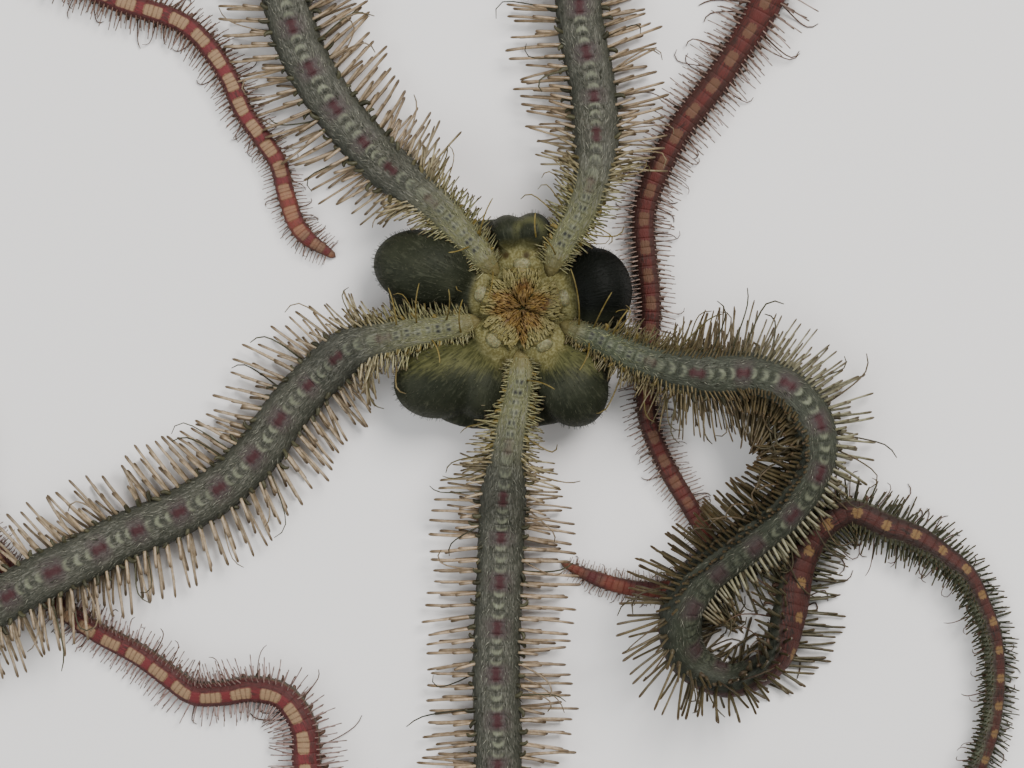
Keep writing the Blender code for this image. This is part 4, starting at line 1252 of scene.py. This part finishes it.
def papilla_strands(bearing, rng):
    """Blunt papillae on a jaw, crowded towards its tip, all leaning in to the mouth."""
    turn = Matrix.Rotation(math.radians(bearing), 3, "Z")
    strands = []
    for i in range(PAPILLAE):
        out = JAW_TIP + 0.05 + 2.3 * rng.random() ** 0.8
        half = min(0.68 * (out - 0.10), JAW_HALF_WIDTH)
        if i % 3 == 0:
            edge = rng.choice((-1.0, 1.0)) * (1.0 - 0.3 * rng.random() ** 2)
        else:
            edge = rng.uniform(-1.0, 1.0)
        top = JAW_TOP - 0.80 * (1.0 - min(out / 2.3, 1.0)) ** 1.4 - 0.45 * abs(edge) ** 3
        root = np.array([out, half * edge, top - 0.16])
        length = rng.uniform(*PAPILLA_LENGTH)
        aim = np.array([-1.0, -0.35 * edge + rng.uniform(-0.30, 0.30), rng.uniform(-0.05, 0.30)])
        aim /= np.linalg.norm(aim)
        path = np.array([root, root + aim * length * 0.55, root + aim * length - np.array([0.0, 0.0, 0.05])])
        path = np.array([turn @ Vector(point) for point in path])
        stain = float(mouth_stain(path[1][0], path[1][1]))
        tone = blended(CREAM, blended(BROWN, AMBER, rng.random() ** 1.2), stain) * rng.uniform(0.82, 1.14)
        tone = tone * (0.44 + 0.56 * min(out / 1.3, 1.0))
        # Painted shade: papillae towards the right of the mouth are darkened, as the mouth skin is there.
        tone = tone * (1.0 - 0.24 * ramp(path[1][0], 0.9, 2.1))
        place = np.array([0.1 + 0.1 * out, (bearing / 360.0 + 0.04 * edge) % 1.0, 0.0])
        strands.append(strand(path, rng.uniform(*PAPILLA_THICKNESS), PAPILLA_GIRTH, tone, place))
    return strands


MOUTH_OCHRE = (0.120, 0.090, 0.026)
MOUTH_SHADE = (0.030, 0.028, 0.012)


def mouth_material(name, brown, pale):
    """Cream skin with fine grain, stained orange-brown where the attribute "stain" is 1."""
    mat, tree, shader = new_material(name, 0.5)
    n = Nodes(tree)
    place = n.value("Object", "ShaderNodeTexCoord")
    cloud = n.noise(place, 1300.0, 3.0, 0.6)
    grain = n.noise(place, 4600.0, 2.0, 0.6)
    deep = n.mix(n.step(cloud, 0.35, 0.65), brown, tuple(1.9 * c for c in brown))
    cream = n.mix(n.step(grain, 0.38, 0.66), tuple(0.55 * c for c in pale), pale)
    cream = n.mix(n.step(cloud, 0.45, 0.7) * 0.35, cream, MOUTH_OCHRE)
    cream = n.mix(n.step(n.parts(place)[0], 0.0010, 0.0024) * 0.26, cream, MOUTH_SHADE)
    edge = n.attribute("stain") + (cloud - 0.5) * 0.8
    n.finish(shader, n.mix(n.step(edge, 0.25, 0.75), cream, deep), grain + cloud * 0.8, 0.8, 0.09)
    shader.inputs["Specular IOR Level"].default_value = 0.22
    shader.inputs["Subsurface Weight"].default_value = 0.10
    shader.inputs["Subsurface Scale"].default_value = 0.0004
    return mat


def add_stain(mesh):
    places = np.array([vertex.co[:] for vertex in mesh.vertices]) / MM
    add_floats(mesh, "stain", mouth_stain(places[:, 0], places[:, 1]))


jaw_rng = np.random.default_rng(JAW_SEED)
jaw_mat = mouth_material("mouth_skin", (0.050, 0.024, 0.005), (0.140, 0.118, 0.042))
shield_mat = mouth_material("oral_shield", (0.090, 0.060, 0.020), (0.180, 0.168, 0.086))
papilla_mat = rod_material("mouth_papilla", (0.11, 0.074, 0.020), 0.12, (0.06, 0.036, 0.008), 0.15, 0.6, 0.0)
for name, bearing, _ in LOBES:
    jaw = melted("jaw_" + name + "_skin", jaw_masses(bearing), 0.10, 4)
    add_stain(jaw.data)
    jaw.data.materials.append(jaw_mat)
    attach(jaw, "root")
    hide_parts("jaw_" + name)
    grow("papillae_" + name, papilla_strands(bearing, jaw_rng), papilla_mat, 5)


SHIELD_MIDDLE = Vector((2.90, 0.0, 4.08))


def shield_shape(bearing):
    """A rounded plate, wider at its outer end."""
    shape = bmesh.new()
    bmesh.ops.create_uvsphere(shape, u_segments=24, v_segments=14, radius=1.0)
    for vert in shape.verts:
        wide = 0.58 + 0.14 * vert.co.x
        vert.co = SHIELD_MIDDLE + Vector((0.54 * vert.co.x, wide * vert.co.y, 0.30 * vert.co.z))
    bmesh.ops.rotate(shape, matrix=Matrix.Rotation(math.radians(bearing), 3, "Z"), verts=shape.verts)
    bmesh.ops.scale(shape, vec=(MM, MM, MM), verts=shape.verts)
    mesh = mesh_from(shape, "shield")
    mesh.shade_smooth()
    return mesh


for name, bearing, _ in LOBES:
    shield = link_mesh("oral_shield_" + name + "_plate", shield_shape(bearing))
    add_stain(shield.data)
    shield.data.materials.append(shield_mat)
    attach(shield, "root")
    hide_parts("oral_shield_" + name)
